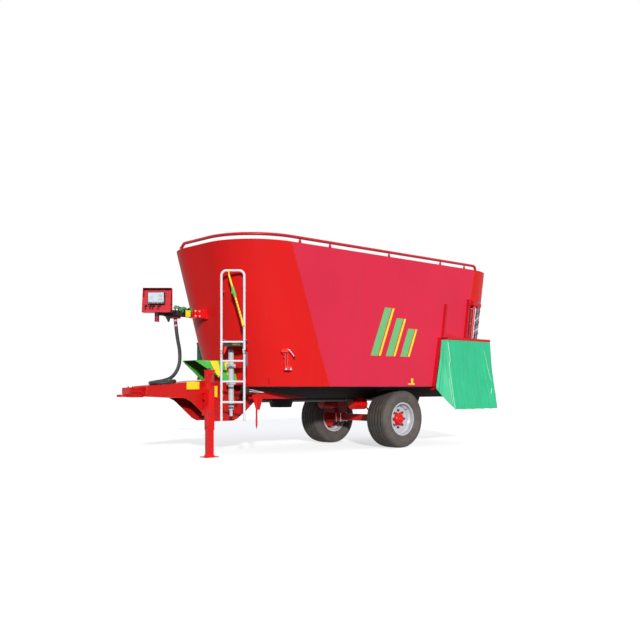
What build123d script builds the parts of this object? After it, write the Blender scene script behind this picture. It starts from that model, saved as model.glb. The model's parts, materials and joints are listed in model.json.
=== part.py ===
"""Trailed twin-auger feed mixer wagon: steel tub with cone-shaped ends on a single axle.

X runs rearwards, Y to the machine's right and Z up, in millimetres. Everything is drawn about the
point on the ground below the axle; at the end the whole model moves so that its origin lies under the
middle of its box.
"""
import os
from math import atan2, cos, degrees, pi, radians, sin, tan

from build123d import *

os.makedirs("parts", exist_ok=True)

# Driving dimensions: running gear
TYRE_DIA = 930
TYRE_WIDTH = 435
SHOULDER = 34
RIM_FLANGE_R = 268
RIM_SEAT_R = 247
RIM_WIDTH = 350
RIM_WALL = 8
DISC_INSET = 150
DISC_THICK = 14
HUB_R = 92
HUB_REACH = 62
STUD_COUNT = 8
STUD_CIRCLE_R = 137
STUD_R = 14
DRUM_R = 180
DRUM_LENGTH = 110
DRUM_WALL = 14
TRACK = 1610
SPINDLE_R = 35
AXLE_SQUARE = 110
AXLE_BRACKET_LENGTH = 260

# Driving dimensions: tub
TUB_BOTTOM_Z = 984
TUB_TOP_Z = 2993
TUB_HALF_WIDTH = 1120
FRONT_BOTTOM_X = -2810
FRONT_TOP_X = -3250
REAR_BOTTOM_X = 2335
REAR_TOP_X = 2500
FRONT_FLAT_BOTTOM = 20
FRONT_FLAT_TOP = 300
CORNER_BOTTOM_R = TUB_HALF_WIDTH - FRONT_FLAT_BOTTOM
CORNER_TOP_R = TUB_HALF_WIDTH - FRONT_FLAT_TOP
WALL = 8
FLOOR = 20
FLOOR_LIP = 6
RIM_FOLD = 45

# Driving dimensions: augers
AUGER_R = 1035
AUGER_TOP_R = 430
AUGER_PITCH = 640
AUGER_TURNS = 2.4
AUGER_CORE_R = 150
AUGER_CORE_WALL = 12
AUGER_HEIGHT = 1640
FLIGHT = 16
FLOOR_GAP = 10
KNIFE_COUNT = 6
KNIFE_LENGTH = 330
KNIFE_WIDTH = 110
KNIFE_THICK = 10

# Driving dimensions: gearboxes
GEARBOX_R = 260
GEARBOX_HEIGHT = 300
GEARBOX_FLANGE = 40
OUTPUT_R = 60
OUTPUT_REACH = 300

# Driving dimensions: chassis and drawbar
RAIL_Y = 450
RAIL_WIDTH = 90
RAIL_DEPTH = 160
RAIL_WALL = 8
RAIL_FRONT_X = -2640
STOP_X = -2570
STOP_Z = 374
STOP_PLATE = 14
RAIL_REAR_X = 2060
CROSS_XS = (-2380, -1120, -420, 420, 1990)
CROSS_WIDTH = 90
CROSS_DEPTH = 110
DRAWBAR_PLATE = 12
BULKHEAD_X = -2990
DRAWBAR_HALF_REAR = 220
DRAWBAR_HALF_NOSE = 150
NOSE_X = -4130
NOSE_TOP_Z = 990
DECK_Z = 1068
HITCH_FRONT_X = -4360
HITCH_HALF = 100
EYE_X = -4405
EYE_Z = 860
EYE_BORE_R = 25
EYE_RING_R = 62
EYE_THICK = 32

# Driving dimensions: parking jack
JACK_X = -3246
JACK_Y = -318
JACK_TOP_Z = 1215
JACK_TUBE = 100
JACK_TUBE_WALL = 6
JACK_TUBE_BOTTOM_Z = 380
JACK_FOOT_LENGTH = 210
JACK_FOOT_WIDTH = 160
JACK_FOOT_THICK = 12
JACK_TRAVEL = 300

# Driving dimensions: drive line
INPUT_X = -3170
INPUT_Z = 770
INPUT_R = 17.5
INPUT_LENGTH = 110
SHAFT_R = 30
SHAFT_DEPTH = 80
GUARD_FRONT_X = -3365
GUARD_HALF_FRONT = 170
GUARD_HALF_REAR = 360
GUARD_RAKE = 400
GUARD_TOP_Z = 1350
GUARD_SHEET = 5

# Driving dimensions: oil tank and pipe post
TANK_ANGLE = 52
TANK_WIDTH = 240
TANK_DEPTH = 95
TANK_Z0 = 1375
TANK_Z1 = 1640
TANK_LID = 22
POST_X = -2972
POST_Y = -450
POST_R = 39
POST_Z0 = 655
POST_Z1 = 1488
POST_FOOT_R = 23
POST_FOOT_Z = 571
POST_CLAMP_ZS = (1040, 1270)

# Driving dimensions: ladder
LADDER_X = -3150
LADDER_Y = -740
LADDER_ANGLE = -41.8
LADDER_WIDTH = 345
LADDER_TUBE_R = 17
LADDER_TOP_Z = 2560
LADDER_BEND_R = 70
BRACE_REACH = 600
BRACE_R = 11
BRACE_Z = 2300
LADDER_HINGE_Z = 1450
HINGE_OUT = 32
PIN_R = 6
LADDER_BOTTOM_Z = 550
RUNG_ZS = (1330, 1050, 770)
RUNG_R = 14
PLATFORM_Z = 1590
STICK_R = 13
STICK_TOP = (-50, 2500)
STICK_FOOT = (141, 1834)

# Driving dimensions: top rail
HAND_RAIL_R = 22
HAND_RAIL_RISE = 69
HAND_RAIL_Z = TUB_TOP_Z + HAND_RAIL_RISE
HAND_RAIL_END_X = 1700
HAND_RAIL_BEND_R = 60
RAIL_POST_R = 9
POST_XS = (-2270, -1700, -460, 770, 1400)

# Driving dimensions: discharge
LEAN = 8.5
DOOR_X = 977
DOOR_WIDTH = 540
DOOR_HEIGHT = 825
DOOR_THICK = 8
DOOR_TRAVEL = 480
DOOR_FRAME = 42
DOOR_STANDOFF = 30
DOOR_OVERLAP = 18
OPENING_INSET = 40
GUIDE_TOP_Z = 2320
CYLINDER_X = 1458
CYLINDER_TOP_Z = 2518
CYLINDER_BOTTOM_Z = 1850
CYLINDER_R = 28
ROD_R = 13
LIFT_Z = 1230
PIPE_X = 1359
PIPE_R = 26
CHUTE_FRONT_X = 760
CHUTE_REAR_X = 1910
CHUTE_REACH = 265
CHEEK_FRONT_X = 545
CHEEK_TOP_FRONT_X = 700
CHEEK_REAR_X = 2060
CHEEK_TOP_REAR_X = 1960
CHEEK_OUT = 75
CHEEK_Y = -TUB_HALF_WIDTH - CHEEK_OUT
CHUTE_DROP = 170
BAR_OUT = 135
BAR_Y = -TUB_HALF_WIDTH - BAR_OUT
BAR_Z = 1770
BAR_SIZE = 44
CURTAIN_BOTTOM_Z = 610
CURTAIN_FLARE = 195
CURTAIN_THICK = 4

# Driving dimensions: control arm and box
ARM_Y = 120
ARM_Z = 2050
ARM_REACH_X = -3818
ARM_R = 32
BOX_WIDTH = 395
BOX_HEIGHT = 345
BOX_BOTTOM_Z = 2006
BOX_DEPTH = 190
BOX_TURN = -41.8
BOX_SHEET = 4
BOX_FACE_TOP = 210
DISPLAY_X = 4
DISPLAY_Z = 196
DISPLAY_WIDTH = 230
DISPLAY_HEIGHT = 160
DISPLAY_DEPTH = 60
MANIFOLD_X = -3525
MANIFOLD_HALF = 60
BRACKET_X = -3260
BRACKET_HALF = 60
COUPLER_R = 34

# Driving dimensions: brakes, rear lamps and hose
CHAMBER_R = 80
CHAMBER_LENGTH = 290
CHAMBER_X = -400
CHAMBER_Y = 365
CHAMBER_Z = 698
RIB_COUNT = 7
LAMP_BAR_HALF = 1000
LAMP_Y = 850
LAMP_HALF = 110
LAMP_Z = 900
HOSE_R = 25
COIL_R = 180
COIL_INNER_R = 130
COIL_X = -3815
COIL_Y = -35

# Fits and clearances
FIT = 0.08
SLIDE_GAP = 0.5
SWING_GAP = 6

nodes = {}
cords = []


def lerp(a, b, t):
    return a + (b - a) * t


def level(z):
    """Share of the tub's height at which a level lies."""
    return (z - TUB_BOTTOM_Z) / (TUB_TOP_Z - TUB_BOTTOM_Z)


def tub_section(z, inset=0.0):
    """Level cut through the tub, moved inwards by an inset."""
    t = level(z)
    front = lerp(FRONT_BOTTOM_X, FRONT_TOP_X, t) + inset
    rear = lerp(REAR_BOTTOM_X, REAR_TOP_X, t) - inset
    corner = lerp(CORNER_BOTTOM_R, CORNER_TOP_R, t) - inset
    half = TUB_HALF_WIDTH - inset
    return Pos((front + rear) / 2, 0, z) * RectangleRounded(rear - front, 2 * half, corner)


def tub_body(z0, z1, inset=0.0):
    return loft([tub_section(z0, inset), tub_section(z1, inset)], ruled=True)


def box(x0, x1, y0, y1, z0, z1):
    return (Pos((x0 + x1) / 2, (y0 + y1) / 2, (z0 + z1) / 2)
            * Box(abs(x1 - x0), abs(y1 - y0), abs(z1 - z0)))


def rod(start, end, radius):
    """Round bar between two points."""
    a, b = Vector(*start), Vector(*end)
    return Plane(origin=a, z_dir=b - a) * extrude(Circle(radius), (b - a).length)


def side_plate(points, y0, y1):
    """Plate with an outline in X and Z that reaches from y0 to y1."""
    face = make_face(Polyline(*[(x, y0, z) for x, z in points], close=True))
    return extrude(face, amount=y1 - y0, dir=(0, 1, 0))


def flat_plate(points, z0, z1):
    """Plate with an outline in X and Y that reaches from z0 to z1."""
    face = make_face(Polyline(*[(x, y, z0) for x, y in points], close=True))
    return extrude(face, amount=z1 - z0, dir=(0, 0, 1))


def cross_plate(points, x0, x1):
    """Plate with an outline in Y and Z that reaches from x0 to x1."""
    face = make_face(Polyline(*[(x0, y, z) for y, z in points], close=True))
    return extrude(face, amount=x1 - x0, dir=(1, 0, 0))


def bent_tube(points, radii, radius):
    """Round bar along straight runs joined by tangent bends."""
    path = FilletPolyline(*points, radius=radii)
    return sweep(Plane(origin=path @ 0, z_dir=path % 0) * Circle(radius), path=path)


def turned(points, y_dir=1):
    """Solid of revolution about Y from (radius, y) points."""
    face = make_face(Polyline(*[(r, y * y_dir, 0) for r, y in points], close=True))
    return revolve(face, Axis.Y, 360)


def add(name, shape):
    nodes[name] = shape


def leaned(shape):
    """Shape of the discharge, turned with the door's guides about the door's foot."""
    return Pos(DOOR_X, 0, TUB_BOTTOM_Z) * Rot(0, LEAN, 0) * Pos(-DOOR_X, 0, -TUB_BOTTOM_Z) * shape


def above(shape, z):
    """What lies above a level."""
    return shape & box(-5000, 5000, -5000, 5000, z, z + 5000)


def shell_point(end, side, angle, z):
    """Point and outward direction on a corner of the tub, by angle from the tub's long axis."""
    t = level(z)
    if end < 0:
        cx = lerp(FRONT_BOTTOM_X, FRONT_TOP_X, t) + lerp(CORNER_BOTTOM_R, CORNER_TOP_R, t)
    else:
        cx = lerp(REAR_BOTTOM_X, REAR_TOP_X, t) - lerp(CORNER_BOTTOM_R, CORNER_TOP_R, t)
    r = lerp(CORNER_BOTTOM_R, CORNER_TOP_R, t)
    cy = side * (TUB_HALF_WIDTH - r)
    nx, ny = end * cos(radians(angle)), side * sin(radians(angle))
    return (cx + r * nx, cy + r * ny, z), (nx, ny, 0)


# Tub: end shells, side walls and floor, cut from one ruled shell at the tangent lines
tub_outer = tub_body(TUB_BOTTOM_Z, TUB_TOP_Z)
tub_inner = tub_body(TUB_BOTTOM_Z - 100, TUB_TOP_Z - WALL, WALL)
tub_mouth = tub_body(TUB_TOP_Z - 2 * WALL, TUB_TOP_Z + 100, WALL + RIM_FOLD)
shell = tub_outer - tub_inner - tub_mouth

front_seam_bottom = FRONT_BOTTOM_X + CORNER_BOTTOM_R
front_seam_top = FRONT_TOP_X + CORNER_TOP_R
rear_seam_bottom = REAR_BOTTOM_X - CORNER_BOTTOM_R
rear_seam_top = REAR_TOP_X - CORNER_TOP_R
reach = 2 * TUB_HALF_WIDTH
low, high = TUB_BOTTOM_Z, TUB_TOP_Z


def seam_x(bottom, top, z):
    return lerp(bottom, top, level(z))


front_cut = side_plate(
    [(FRONT_TOP_X - 500, low - 200), (seam_x(front_seam_bottom, front_seam_top, low - 200), low - 200),
     (seam_x(front_seam_bottom, front_seam_top, high + 200), high + 200),
     (FRONT_TOP_X - 500, high + 200)], -reach, reach)
rear_cut = side_plate(
    [(REAR_TOP_X + 500, low - 200), (seam_x(rear_seam_bottom, rear_seam_top, low - 200), low - 200),
     (seam_x(rear_seam_bottom, rear_seam_top, high + 200), high + 200),
     (REAR_TOP_X + 500, high + 200)], -reach, reach)
tub_front = shell & front_cut
tub_rear = shell & rear_cut
sides = shell - front_cut - rear_cut
tub_left = sides & box(-5000, 5000, -reach, 0, 0, 4000)
tub_right = sides & box(-5000, 5000, 0, reach, 0, 4000)

# Discharge opening through the left wall and the shell beside it
door_x0, door_x1 = DOOR_X - DOOR_WIDTH / 2, DOOR_X + DOOR_WIDTH / 2
opening = leaned(box(door_x0 + OPENING_INSET, door_x1 - OPENING_INSET, -TUB_HALF_WIDTH - 60,
                     -TUB_HALF_WIDTH + 330, TUB_BOTTOM_Z - 100, TUB_BOTTOM_Z + DOOR_HEIGHT - OPENING_INSET))
opening = above(opening, TUB_BOTTOM_Z)
tub_left = tub_left - opening
tub_rear = tub_rear - opening
add("tub_front_shell", tub_front)
add("tub_rear_shell", tub_rear)
add("tub_left_wall", tub_left)
add("tub_right_wall", tub_right)

auger_xs = {"front": front_seam_bottom, "rear": rear_seam_bottom}
floor_plate = extrude(tub_section(TUB_BOTTOM_Z, -FLOOR_LIP), -FLOOR)
for x in auger_xs.values():
    floor_plate -= Pos(x, 0, TUB_BOTTOM_Z) * Cylinder(OUTPUT_R + SWING_GAP, 4 * FLOOR)
add("tub_floor", floor_plate)
floor_bottom = TUB_BOTTOM_Z - FLOOR

# Augers: conical helical flight on a core tube, with knives along its edge
def auger(x, hand_turn):
    z0 = TUB_BOTTOM_Z + FLOOR_GAP
    rise = AUGER_PITCH * AUGER_TURNS
    path = Helix(AUGER_PITCH, rise, AUGER_CORE_R - 6)
    width = AUGER_R - AUGER_CORE_R + 26
    start = Plane(origin=path @ 0, x_dir=(1, 0, 0), z_dir=path % 0)
    flight = sweep(start * Pos(width / 2, FLIGHT / 2) * Rectangle(width, FLIGHT), path=path, is_frenet=True)
    envelope = Pos(0, 0, -20) * Cone(AUGER_R, AUGER_TOP_R, rise + 60,
                                     align=(Align.CENTER, Align.CENTER, Align.MIN))
    flight = flight & envelope & Cylinder(
        AUGER_R + 50, AUGER_HEIGHT, align=(Align.CENTER, Align.CENTER, Align.MIN))
    core = Cylinder(AUGER_CORE_R, AUGER_HEIGHT, align=(Align.CENTER, Align.CENTER, Align.MIN))
    hollow = Pos(0, 0, AUGER_CORE_WALL) * Cylinder(
        AUGER_CORE_R - AUGER_CORE_WALL, AUGER_HEIGHT - 2 * AUGER_CORE_WALL,
        align=(Align.CENTER, Align.CENTER, Align.MIN))
    socket = Cylinder(OUTPUT_R + 30, OUTPUT_REACH + 20, align=(Align.CENTER, Align.CENTER, Align.MIN))
    bore = Cylinder(OUTPUT_R + FIT, OUTPUT_REACH + 5, align=(Align.CENTER, Align.CENTER, Align.MIN))
    body = flight + core - hollow + socket - bore
    for k in range(KNIFE_COUNT):
        turn = 0.35 + k * (AUGER_TURNS - 0.55) / (KNIFE_COUNT - 1)
        z = AUGER_PITCH * turn
        edge = lerp(AUGER_R, AUGER_TOP_R, (z + 20) / (rise + 60))
        blade = make_face(Polyline((0, -KNIFE_WIDTH / 2), (KNIFE_LENGTH * 0.72, -KNIFE_WIDTH / 2),
                                   (KNIFE_LENGTH, KNIFE_WIDTH / 3), (KNIFE_LENGTH * 0.9, KNIFE_WIDTH / 2),
                                   (0, KNIFE_WIDTH / 2), close=True))
        slope = degrees(atan2(AUGER_PITCH, 2 * pi * edge))
        start_r = edge - KNIFE_LENGTH + 45
        body += (Pos(0, 0, z) * Rot(0, 0, turn * 360) * Pos(start_r, 0, -KNIFE_THICK / 2)
                 * Rot(slope, 0, 0) * extrude(blade, KNIFE_THICK))
    return Pos(x, 0, z0) * Rot(0, 0, hand_turn) * body


add("auger_front", auger(auger_xs["front"], 0))
add("auger_rear", auger(auger_xs["rear"], 120))

# Gearboxes below the floor, each with its output spigot up into the auger
for place, x in auger_xs.items():
    case = Pos(x, 0, floor_bottom) * Cylinder(
        GEARBOX_R, GEARBOX_FLANGE, align=(Align.CENTER, Align.CENTER, Align.MAX))
    case += Pos(x, 0, floor_bottom - GEARBOX_FLANGE) * Cone(
        GEARBOX_R * 0.62, GEARBOX_R * 0.9, GEARBOX_HEIGHT - GEARBOX_FLANGE,
        align=(Align.CENTER, Align.CENTER, Align.MAX))
    spigot = Pos(x, 0, floor_bottom) * Cylinder(
        OUTPUT_R, FLOOR + FLOOR_GAP + OUTPUT_REACH, align=(Align.CENTER, Align.CENTER, Align.MIN))
    case -= rod((x - GEARBOX_R, 0, INPUT_Z), (x - SHAFT_DEPTH, 0, INPUT_Z), SHAFT_R + FIT)
    if place == "front":
        case -= rod((x + SHAFT_DEPTH, 0, INPUT_Z), (x + GEARBOX_R, 0, INPUT_Z), SHAFT_R + FIT)
    add(f"gearbox_{place}", case + spigot)

# Chassis rails and cross members
rail_top, rail_bottom = floor_bottom, floor_bottom - RAIL_DEPTH
for side, s in (("left", -1), ("right", 1)):
    y0, y1 = s * RAIL_Y - RAIL_WIDTH / 2, s * RAIL_Y + RAIL_WIDTH / 2
    rail = box(RAIL_FRONT_X, RAIL_REAR_X, y0, y1, rail_bottom, rail_top)
    rail -= box(RAIL_FRONT_X - 10, RAIL_REAR_X + 10, y0 + RAIL_WALL, y1 - RAIL_WALL,
                rail_bottom + RAIL_WALL, rail_top - RAIL_WALL)
    if side == "left":
        plate_y = y0 - STOP_PLATE
        rail += side_plate([(RAIL_FRONT_X, rail_top - 40), (RAIL_FRONT_X, rail_bottom + 40), (STOP_X, 650),
                            (STOP_X + 60, 650), (STOP_X + 110, rail_bottom + 10),
                            (STOP_X + 110, rail_top - 40)], plate_y, y0)
        rail += rod((STOP_X, plate_y, STOP_Z + 60), (STOP_X, plate_y, rail_bottom), STOP_PLATE)
        rail += Pos(STOP_X, y0 - STOP_PLATE, STOP_Z + 30) * Cone(2, STOP_PLATE, 60)
    add(f"chassis_rail_{side}", rail)
cross_half = RAIL_Y - RAIL_WIDTH / 2
for number, x in enumerate(CROSS_XS, 1):
    member = box(x - CROSS_WIDTH / 2, x + CROSS_WIDTH / 2, -cross_half, cross_half,
                 rail_top - CROSS_DEPTH, rail_top)
    member -= box(x - CROSS_WIDTH / 2 + RAIL_WALL, x + CROSS_WIDTH / 2 - RAIL_WALL, -cross_half - 10,
                  cross_half + 10, rail_top - CROSS_DEPTH + RAIL_WALL, rail_top - RAIL_WALL)
    add(f"cross_member_{number}", member)

# Axle beam with its brackets, back plates and spindles
hub_z = TYRE_DIA / 2
wheel_y = TRACK / 2
disc_y = wheel_y + TYRE_WIDTH / 2 - DISC_INSET
drum_outer_y = disc_y - DISC_THICK
drum_inner_y = drum_outer_y - DRUM_LENGTH
beam = box(-AXLE_SQUARE / 2, AXLE_SQUARE / 2, -drum_inner_y - 8, drum_inner_y + 8,
           hub_z - AXLE_SQUARE / 2, hub_z + AXLE_SQUARE / 2)
for s in (-1, 1):
    beam += Pos(0, s * (drum_inner_y - SWING_GAP), hub_z) * Rot(90, 0, 0) * Cylinder(DRUM_R - 4, 8)
    end_y = disc_y + HUB_REACH - 25
    beam += rod((0, s * (drum_inner_y - 10), hub_z), (0, s * end_y, hub_z), SPINDLE_R)
    w = AXLE_BRACKET_LENGTH / 2
    bracket = side_plate([(-w, rail_bottom), (w, rail_bottom), (w * 0.55, hub_z - AXLE_SQUARE / 2 - 14),
                          (-w * 0.55, hub_z - AXLE_SQUARE / 2 - 14)],
                         s * RAIL_Y - 36, s * RAIL_Y + 36)
    inner = side_plate([(-w + 24, rail_bottom - 14), (w - 24, rail_bottom - 14),
                        (w * 0.8, hub_z + AXLE_SQUARE / 2 + 14), (-w * 0.8, hub_z + AXLE_SQUARE / 2 + 14)],
                       s * RAIL_Y - 26, s * RAIL_Y + 26)
    beam += bracket - inner
add("axle_beam", beam)

# Brake chambers ahead of the axle
for side, s in (("left", -1), ("right", 1)):
    centre = Vector(CHAMBER_X, s * CHAMBER_Y, CHAMBER_Z)
    chamber = Pos(*centre) * Rot(0, 90, 0) * Cylinder(CHAMBER_R, CHAMBER_LENGTH)
    for k in range(RIB_COUNT):
        x = centre.X + (k / (RIB_COUNT - 1) - 0.5) * (CHAMBER_LENGTH - 30)
        chamber += Pos(x, centre.Y, centre.Z) * Rot(0, 90, 0) * Cylinder(CHAMBER_R + 5, 13)
    chamber += rod((centre.X + CHAMBER_LENGTH / 2 - 5, centre.Y, centre.Z),
                   (-AXLE_SQUARE / 2, centre.Y, 505), 12)
    chamber += box(centre.X - 40, centre.X + 40, centre.Y, s * (RAIL_Y), centre.Z + 40, rail_bottom)
    add(f"brake_chamber_{side}", chamber - beam)

# Wheels: hub with drum, rim with disc, tyre
for side, s in (("left", -1), ("right", 1)):
    hub = turned([(SPINDLE_R + FIT, drum_outer_y - 60), (HUB_R + 20, drum_outer_y - 60),
                  (HUB_R + 20, drum_outer_y - DRUM_WALL), (DRUM_R - DRUM_WALL, drum_outer_y - DRUM_WALL),
                  (DRUM_R - DRUM_WALL, drum_inner_y), (DRUM_R, drum_inner_y), (DRUM_R, drum_outer_y),
                  (HUB_R, drum_outer_y), (HUB_R, disc_y + HUB_REACH * 0.7), (HUB_R * 0.8, disc_y + HUB_REACH),
                  (0, disc_y + HUB_REACH), (0, disc_y + HUB_REACH - 15),
                  (SPINDLE_R + FIT, disc_y + HUB_REACH - 15)], s)
    for k in range(STUD_COUNT):
        a = 2 * pi * k / STUD_COUNT
        x, z = STUD_CIRCLE_R * cos(a), STUD_CIRCLE_R * sin(a)
        hub += rod((x, s * (drum_outer_y - 5), z), (x, s * (disc_y + 22), z), STUD_R)
    add(f"wheel_hub_{side}", Pos(0, 0, hub_z) * hub)
    in_y, out_y = wheel_y - RIM_WIDTH / 2, wheel_y + RIM_WIDTH / 2
    seat = RIM_SEAT_R
    rim = turned([(RIM_FLANGE_R, in_y), (RIM_FLANGE_R, in_y + RIM_WALL), (seat, in_y + RIM_WALL),
                  (seat, in_y + 50), (seat - 30, in_y + 80), (seat - 30, out_y - 80), (seat, out_y - 50),
                  (seat, out_y - RIM_WALL), (RIM_FLANGE_R, out_y - RIM_WALL), (RIM_FLANGE_R, out_y),
                  (seat - RIM_WALL, out_y), (seat - RIM_WALL, out_y - 54),
                  (seat - 30 - RIM_WALL, out_y - 84), (seat - 30 - RIM_WALL, disc_y),
                  (HUB_R + FIT, disc_y), (HUB_R + FIT, disc_y - DISC_THICK),
                  (seat - 30 - RIM_WALL, disc_y - DISC_THICK), (seat - 30 - RIM_WALL, in_y + 84),
                  (seat - RIM_WALL, in_y + 54), (seat - RIM_WALL, in_y)], s)
    for k in range(STUD_COUNT):
        a = 2 * pi * k / STUD_COUNT
        x, z = STUD_CIRCLE_R * cos(a), STUD_CIRCLE_R * sin(a)
        rim -= Pos(x, s * (disc_y - DISC_THICK / 2), z) * Rot(90, 0, 0) * Cylinder(STUD_R, 3 * DISC_THICK)
    add(f"wheel_rim_{side}", Pos(0, 0, hub_z) * rim)
    r, h = TYRE_DIA / 2, TYRE_WIDTH / 2
    bead = RIM_WIDTH / 2 - RIM_WALL
    tyre = turned([(seat, wheel_y - bead), (RIM_FLANGE_R + 6, wheel_y - bead),
                   (r - SHOULDER * 1.6, wheel_y - h), (r, wheel_y - h + SHOULDER),
                   (r, wheel_y + h - SHOULDER), (r - SHOULDER * 1.6, wheel_y + h),
                   (RIM_FLANGE_R + 6, wheel_y + bead), (seat, wheel_y + bead)], s)
    add(f"wheel_tyre_{side}", Pos(0, 0, hub_z) * tyre)

# Drawbar: welded box of plates, deep at the jack and narrow at the nose
side_outline = [(NOSE_X, 850), (NOSE_X, NOSE_TOP_Z), (-3262, DECK_Z), (-2915, DECK_Z), (-2880, floor_bottom),
                (-2200, floor_bottom), (-2200, 830), (-2360, 790), (-2530, 640), (-2690, 525), (-2770, 492),
                (-3110, 492), (-3190, 530), (-3390, 704), (-3480, 780), (-3571, 822)]
plan = [(NOSE_X, DRAWBAR_HALF_NOSE), (-3560, DRAWBAR_HALF_REAR),
        (-2200, DRAWBAR_HALF_REAR)]


def plan_outline(inset):
    right = [(x, y - inset) for x, y in plan]
    return right + [(x, -y) for x, y in reversed(right)]


drawbar = side_plate(side_outline, -400, 400) & flat_plate(plan_outline(0), 300, 1200)
centre_line = make_face(Polyline(*[(x, -400, z) for x, z in side_outline], close=True))
hollow_face = offset(centre_line, amount=-DRAWBAR_PLATE)
hollow = extrude(hollow_face, amount=800, dir=(0, 1, 0)) & flat_plate(plan_outline(DRAWBAR_PLATE), 300, 1200)
drawbar -= hollow
drawbar -= box(-3640, -2100, -400, 400, 300, 900) & flat_plate(plan_outline(DRAWBAR_PLATE), 300, 1200)
drawbar -= rod((-3269, -DRAWBAR_HALF_REAR - 60, 782), (-3269, -DRAWBAR_HALF_REAR + 60, 782), 22)
bulkhead = (box(BULKHEAD_X, BULKHEAD_X + 16, -DRAWBAR_HALF_REAR, DRAWBAR_HALF_REAR, INPUT_Z - 150, 1000)
            & flat_plate(plan_outline(DRAWBAR_PLATE - 2), 300, 1200))
bearing = rod((BULKHEAD_X - 40, 0, INPUT_Z), (BULKHEAD_X + 30, 0, INPUT_Z), 75)
drawbar += bulkhead + bearing
drawbar -= rod((BULKHEAD_X - 60, 0, INPUT_Z), (BULKHEAD_X + 60, 0, INPUT_Z), SHAFT_R + FIT)
drawbar -= box(CROSS_XS[0] - CROSS_WIDTH / 2, CROSS_XS[0] + CROSS_WIDTH / 2, -cross_half, cross_half,
               rail_top - CROSS_DEPTH, rail_top)
drawbar = drawbar.solids().sort_by(SortBy.VOLUME)[-1]
add("drawbar", drawbar)

# Towing eye on a tapered tongue bolted to the nose
hitch_z = (850 + NOSE_TOP_Z) / 2
hitch = box(NOSE_X - 22, NOSE_X, -DRAWBAR_HALF_NOSE, DRAWBAR_HALF_NOSE, 850, NOSE_TOP_Z)
hitch += side_plate([(NOSE_X - 20, NOSE_TOP_Z - 12), (HITCH_FRONT_X, NOSE_TOP_Z - 22),
                     (HITCH_FRONT_X, EYE_Z + 20),
                     (HITCH_FRONT_X + 60, EYE_Z - 22), (NOSE_X - 20, EYE_Z - 22)], -HITCH_HALF, HITCH_HALF)
for z in (-1, 1):
    for y in (-1, 1):
        hitch -= (Pos((HITCH_FRONT_X + NOSE_X) / 2 - 10, y * (HITCH_HALF + 10), hitch_z + 8 + z * 34)
                  * Box(NOSE_X - HITCH_FRONT_X - 100, 60, 36))
for y in (-115, 115):
    for z in (880, 960):
        hitch += rod((NOSE_X - 38, y * 1.08, z), (NOSE_X - 10, y * 1.08, z), 15)
add("hitch_block", hitch)
tongue = flat_plate([(HITCH_FRONT_X + 100, -88), (HITCH_FRONT_X + 100, 88), (EYE_X, EYE_RING_R),
                     (EYE_X, -EYE_RING_R)], EYE_Z - EYE_THICK / 2, EYE_Z + EYE_THICK / 2)
tongue += Pos(EYE_X, 0, EYE_Z) * Cylinder(EYE_RING_R + 14, EYE_THICK)
tongue -= Pos(EYE_X, 0, EYE_Z) * Cylinder(EYE_BORE_R, 4 * EYE_THICK)
tongue -= hitch
add("towing_eye", tongue)

# Parking jack beside the drawbar
half = JACK_TUBE / 2
bore = half - JACK_TUBE_WALL
leg = bore - SLIDE_GAP
jack = box(JACK_X - half, JACK_X + half, JACK_Y - half, JACK_Y + half, JACK_TUBE_BOTTOM_Z, JACK_TOP_Z)
jack -= box(JACK_X - bore, JACK_X + bore, JACK_Y - bore, JACK_Y + bore, JACK_TUBE_BOTTOM_Z - 10,
            JACK_TOP_Z - 10)
jack += box(JACK_X - half - 8, JACK_X + half + 8, JACK_Y - half - 8, JACK_Y + half + 8, JACK_TOP_Z - 16,
            JACK_TOP_Z)
for z in (620, 930):
    jack += box(JACK_X - 60, JACK_X + 60, JACK_Y + half, -DRAWBAR_HALF_REAR, z - 40, z + 40)
add("jack_housing", jack)
jack_leg = box(JACK_X - leg, JACK_X + leg, JACK_Y - leg, JACK_Y + leg, JACK_FOOT_THICK,
               JACK_TOP_Z - 16 - JACK_TRAVEL - 60)
jack_leg += box(JACK_X - JACK_FOOT_LENGTH / 2, JACK_X + JACK_FOOT_LENGTH / 2, JACK_Y - JACK_FOOT_WIDTH / 2,
                JACK_Y + JACK_FOOT_WIDTH / 2, 0, JACK_FOOT_THICK)
add("jack_leg", jack_leg)

# Input shaft and its guard hood
front_gear_x, rear_gear_x = auger_xs["front"], auger_xs["rear"]
input_shaft = rod((INPUT_X, 0, INPUT_Z), (INPUT_X + INPUT_LENGTH + 20, 0, INPUT_Z), INPUT_R)
input_shaft += rod((INPUT_X + INPUT_LENGTH, 0, INPUT_Z), (front_gear_x - SHAFT_DEPTH - SLIDE_GAP, 0, INPUT_Z),
                   SHAFT_R)
add("drive_shaft", input_shaft)
add("through_shaft", rod((front_gear_x + SHAFT_DEPTH + SLIDE_GAP, 0, INPUT_Z),
                         (rear_gear_x - SHAFT_DEPTH - SLIDE_GAP, 0, INPUT_Z), SHAFT_R))

guard_plan = [(GUARD_FRONT_X, GUARD_HALF_FRONT), (-2700, GUARD_HALF_REAR)]


def guard_block(inset, z0, z1):
    """Flared block that the hood follows, moved inwards by an inset."""
    points = [(x, y - inset) for x, y in guard_plan]
    return flat_plate(points + [(x, -y) for x, y in reversed(points)], z0, z1)


guard = guard_block(0, DECK_Z, GUARD_TOP_Z) - guard_block(GUARD_SHEET, DECK_Z - 10, GUARD_TOP_Z - GUARD_SHEET)
guard -= side_plate([(GUARD_FRONT_X - 10, DECK_Z - 10), (GUARD_FRONT_X - 10, GUARD_TOP_Z - 20),
                     (GUARD_FRONT_X + 20, GUARD_TOP_Z - 20), (GUARD_FRONT_X + GUARD_RAKE, DECK_Z - 10)], -500, 500)
guard -= tub_outer
add("drive_guard", guard.solids().sort_by(SortBy.VOLUME)[-1])

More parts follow.
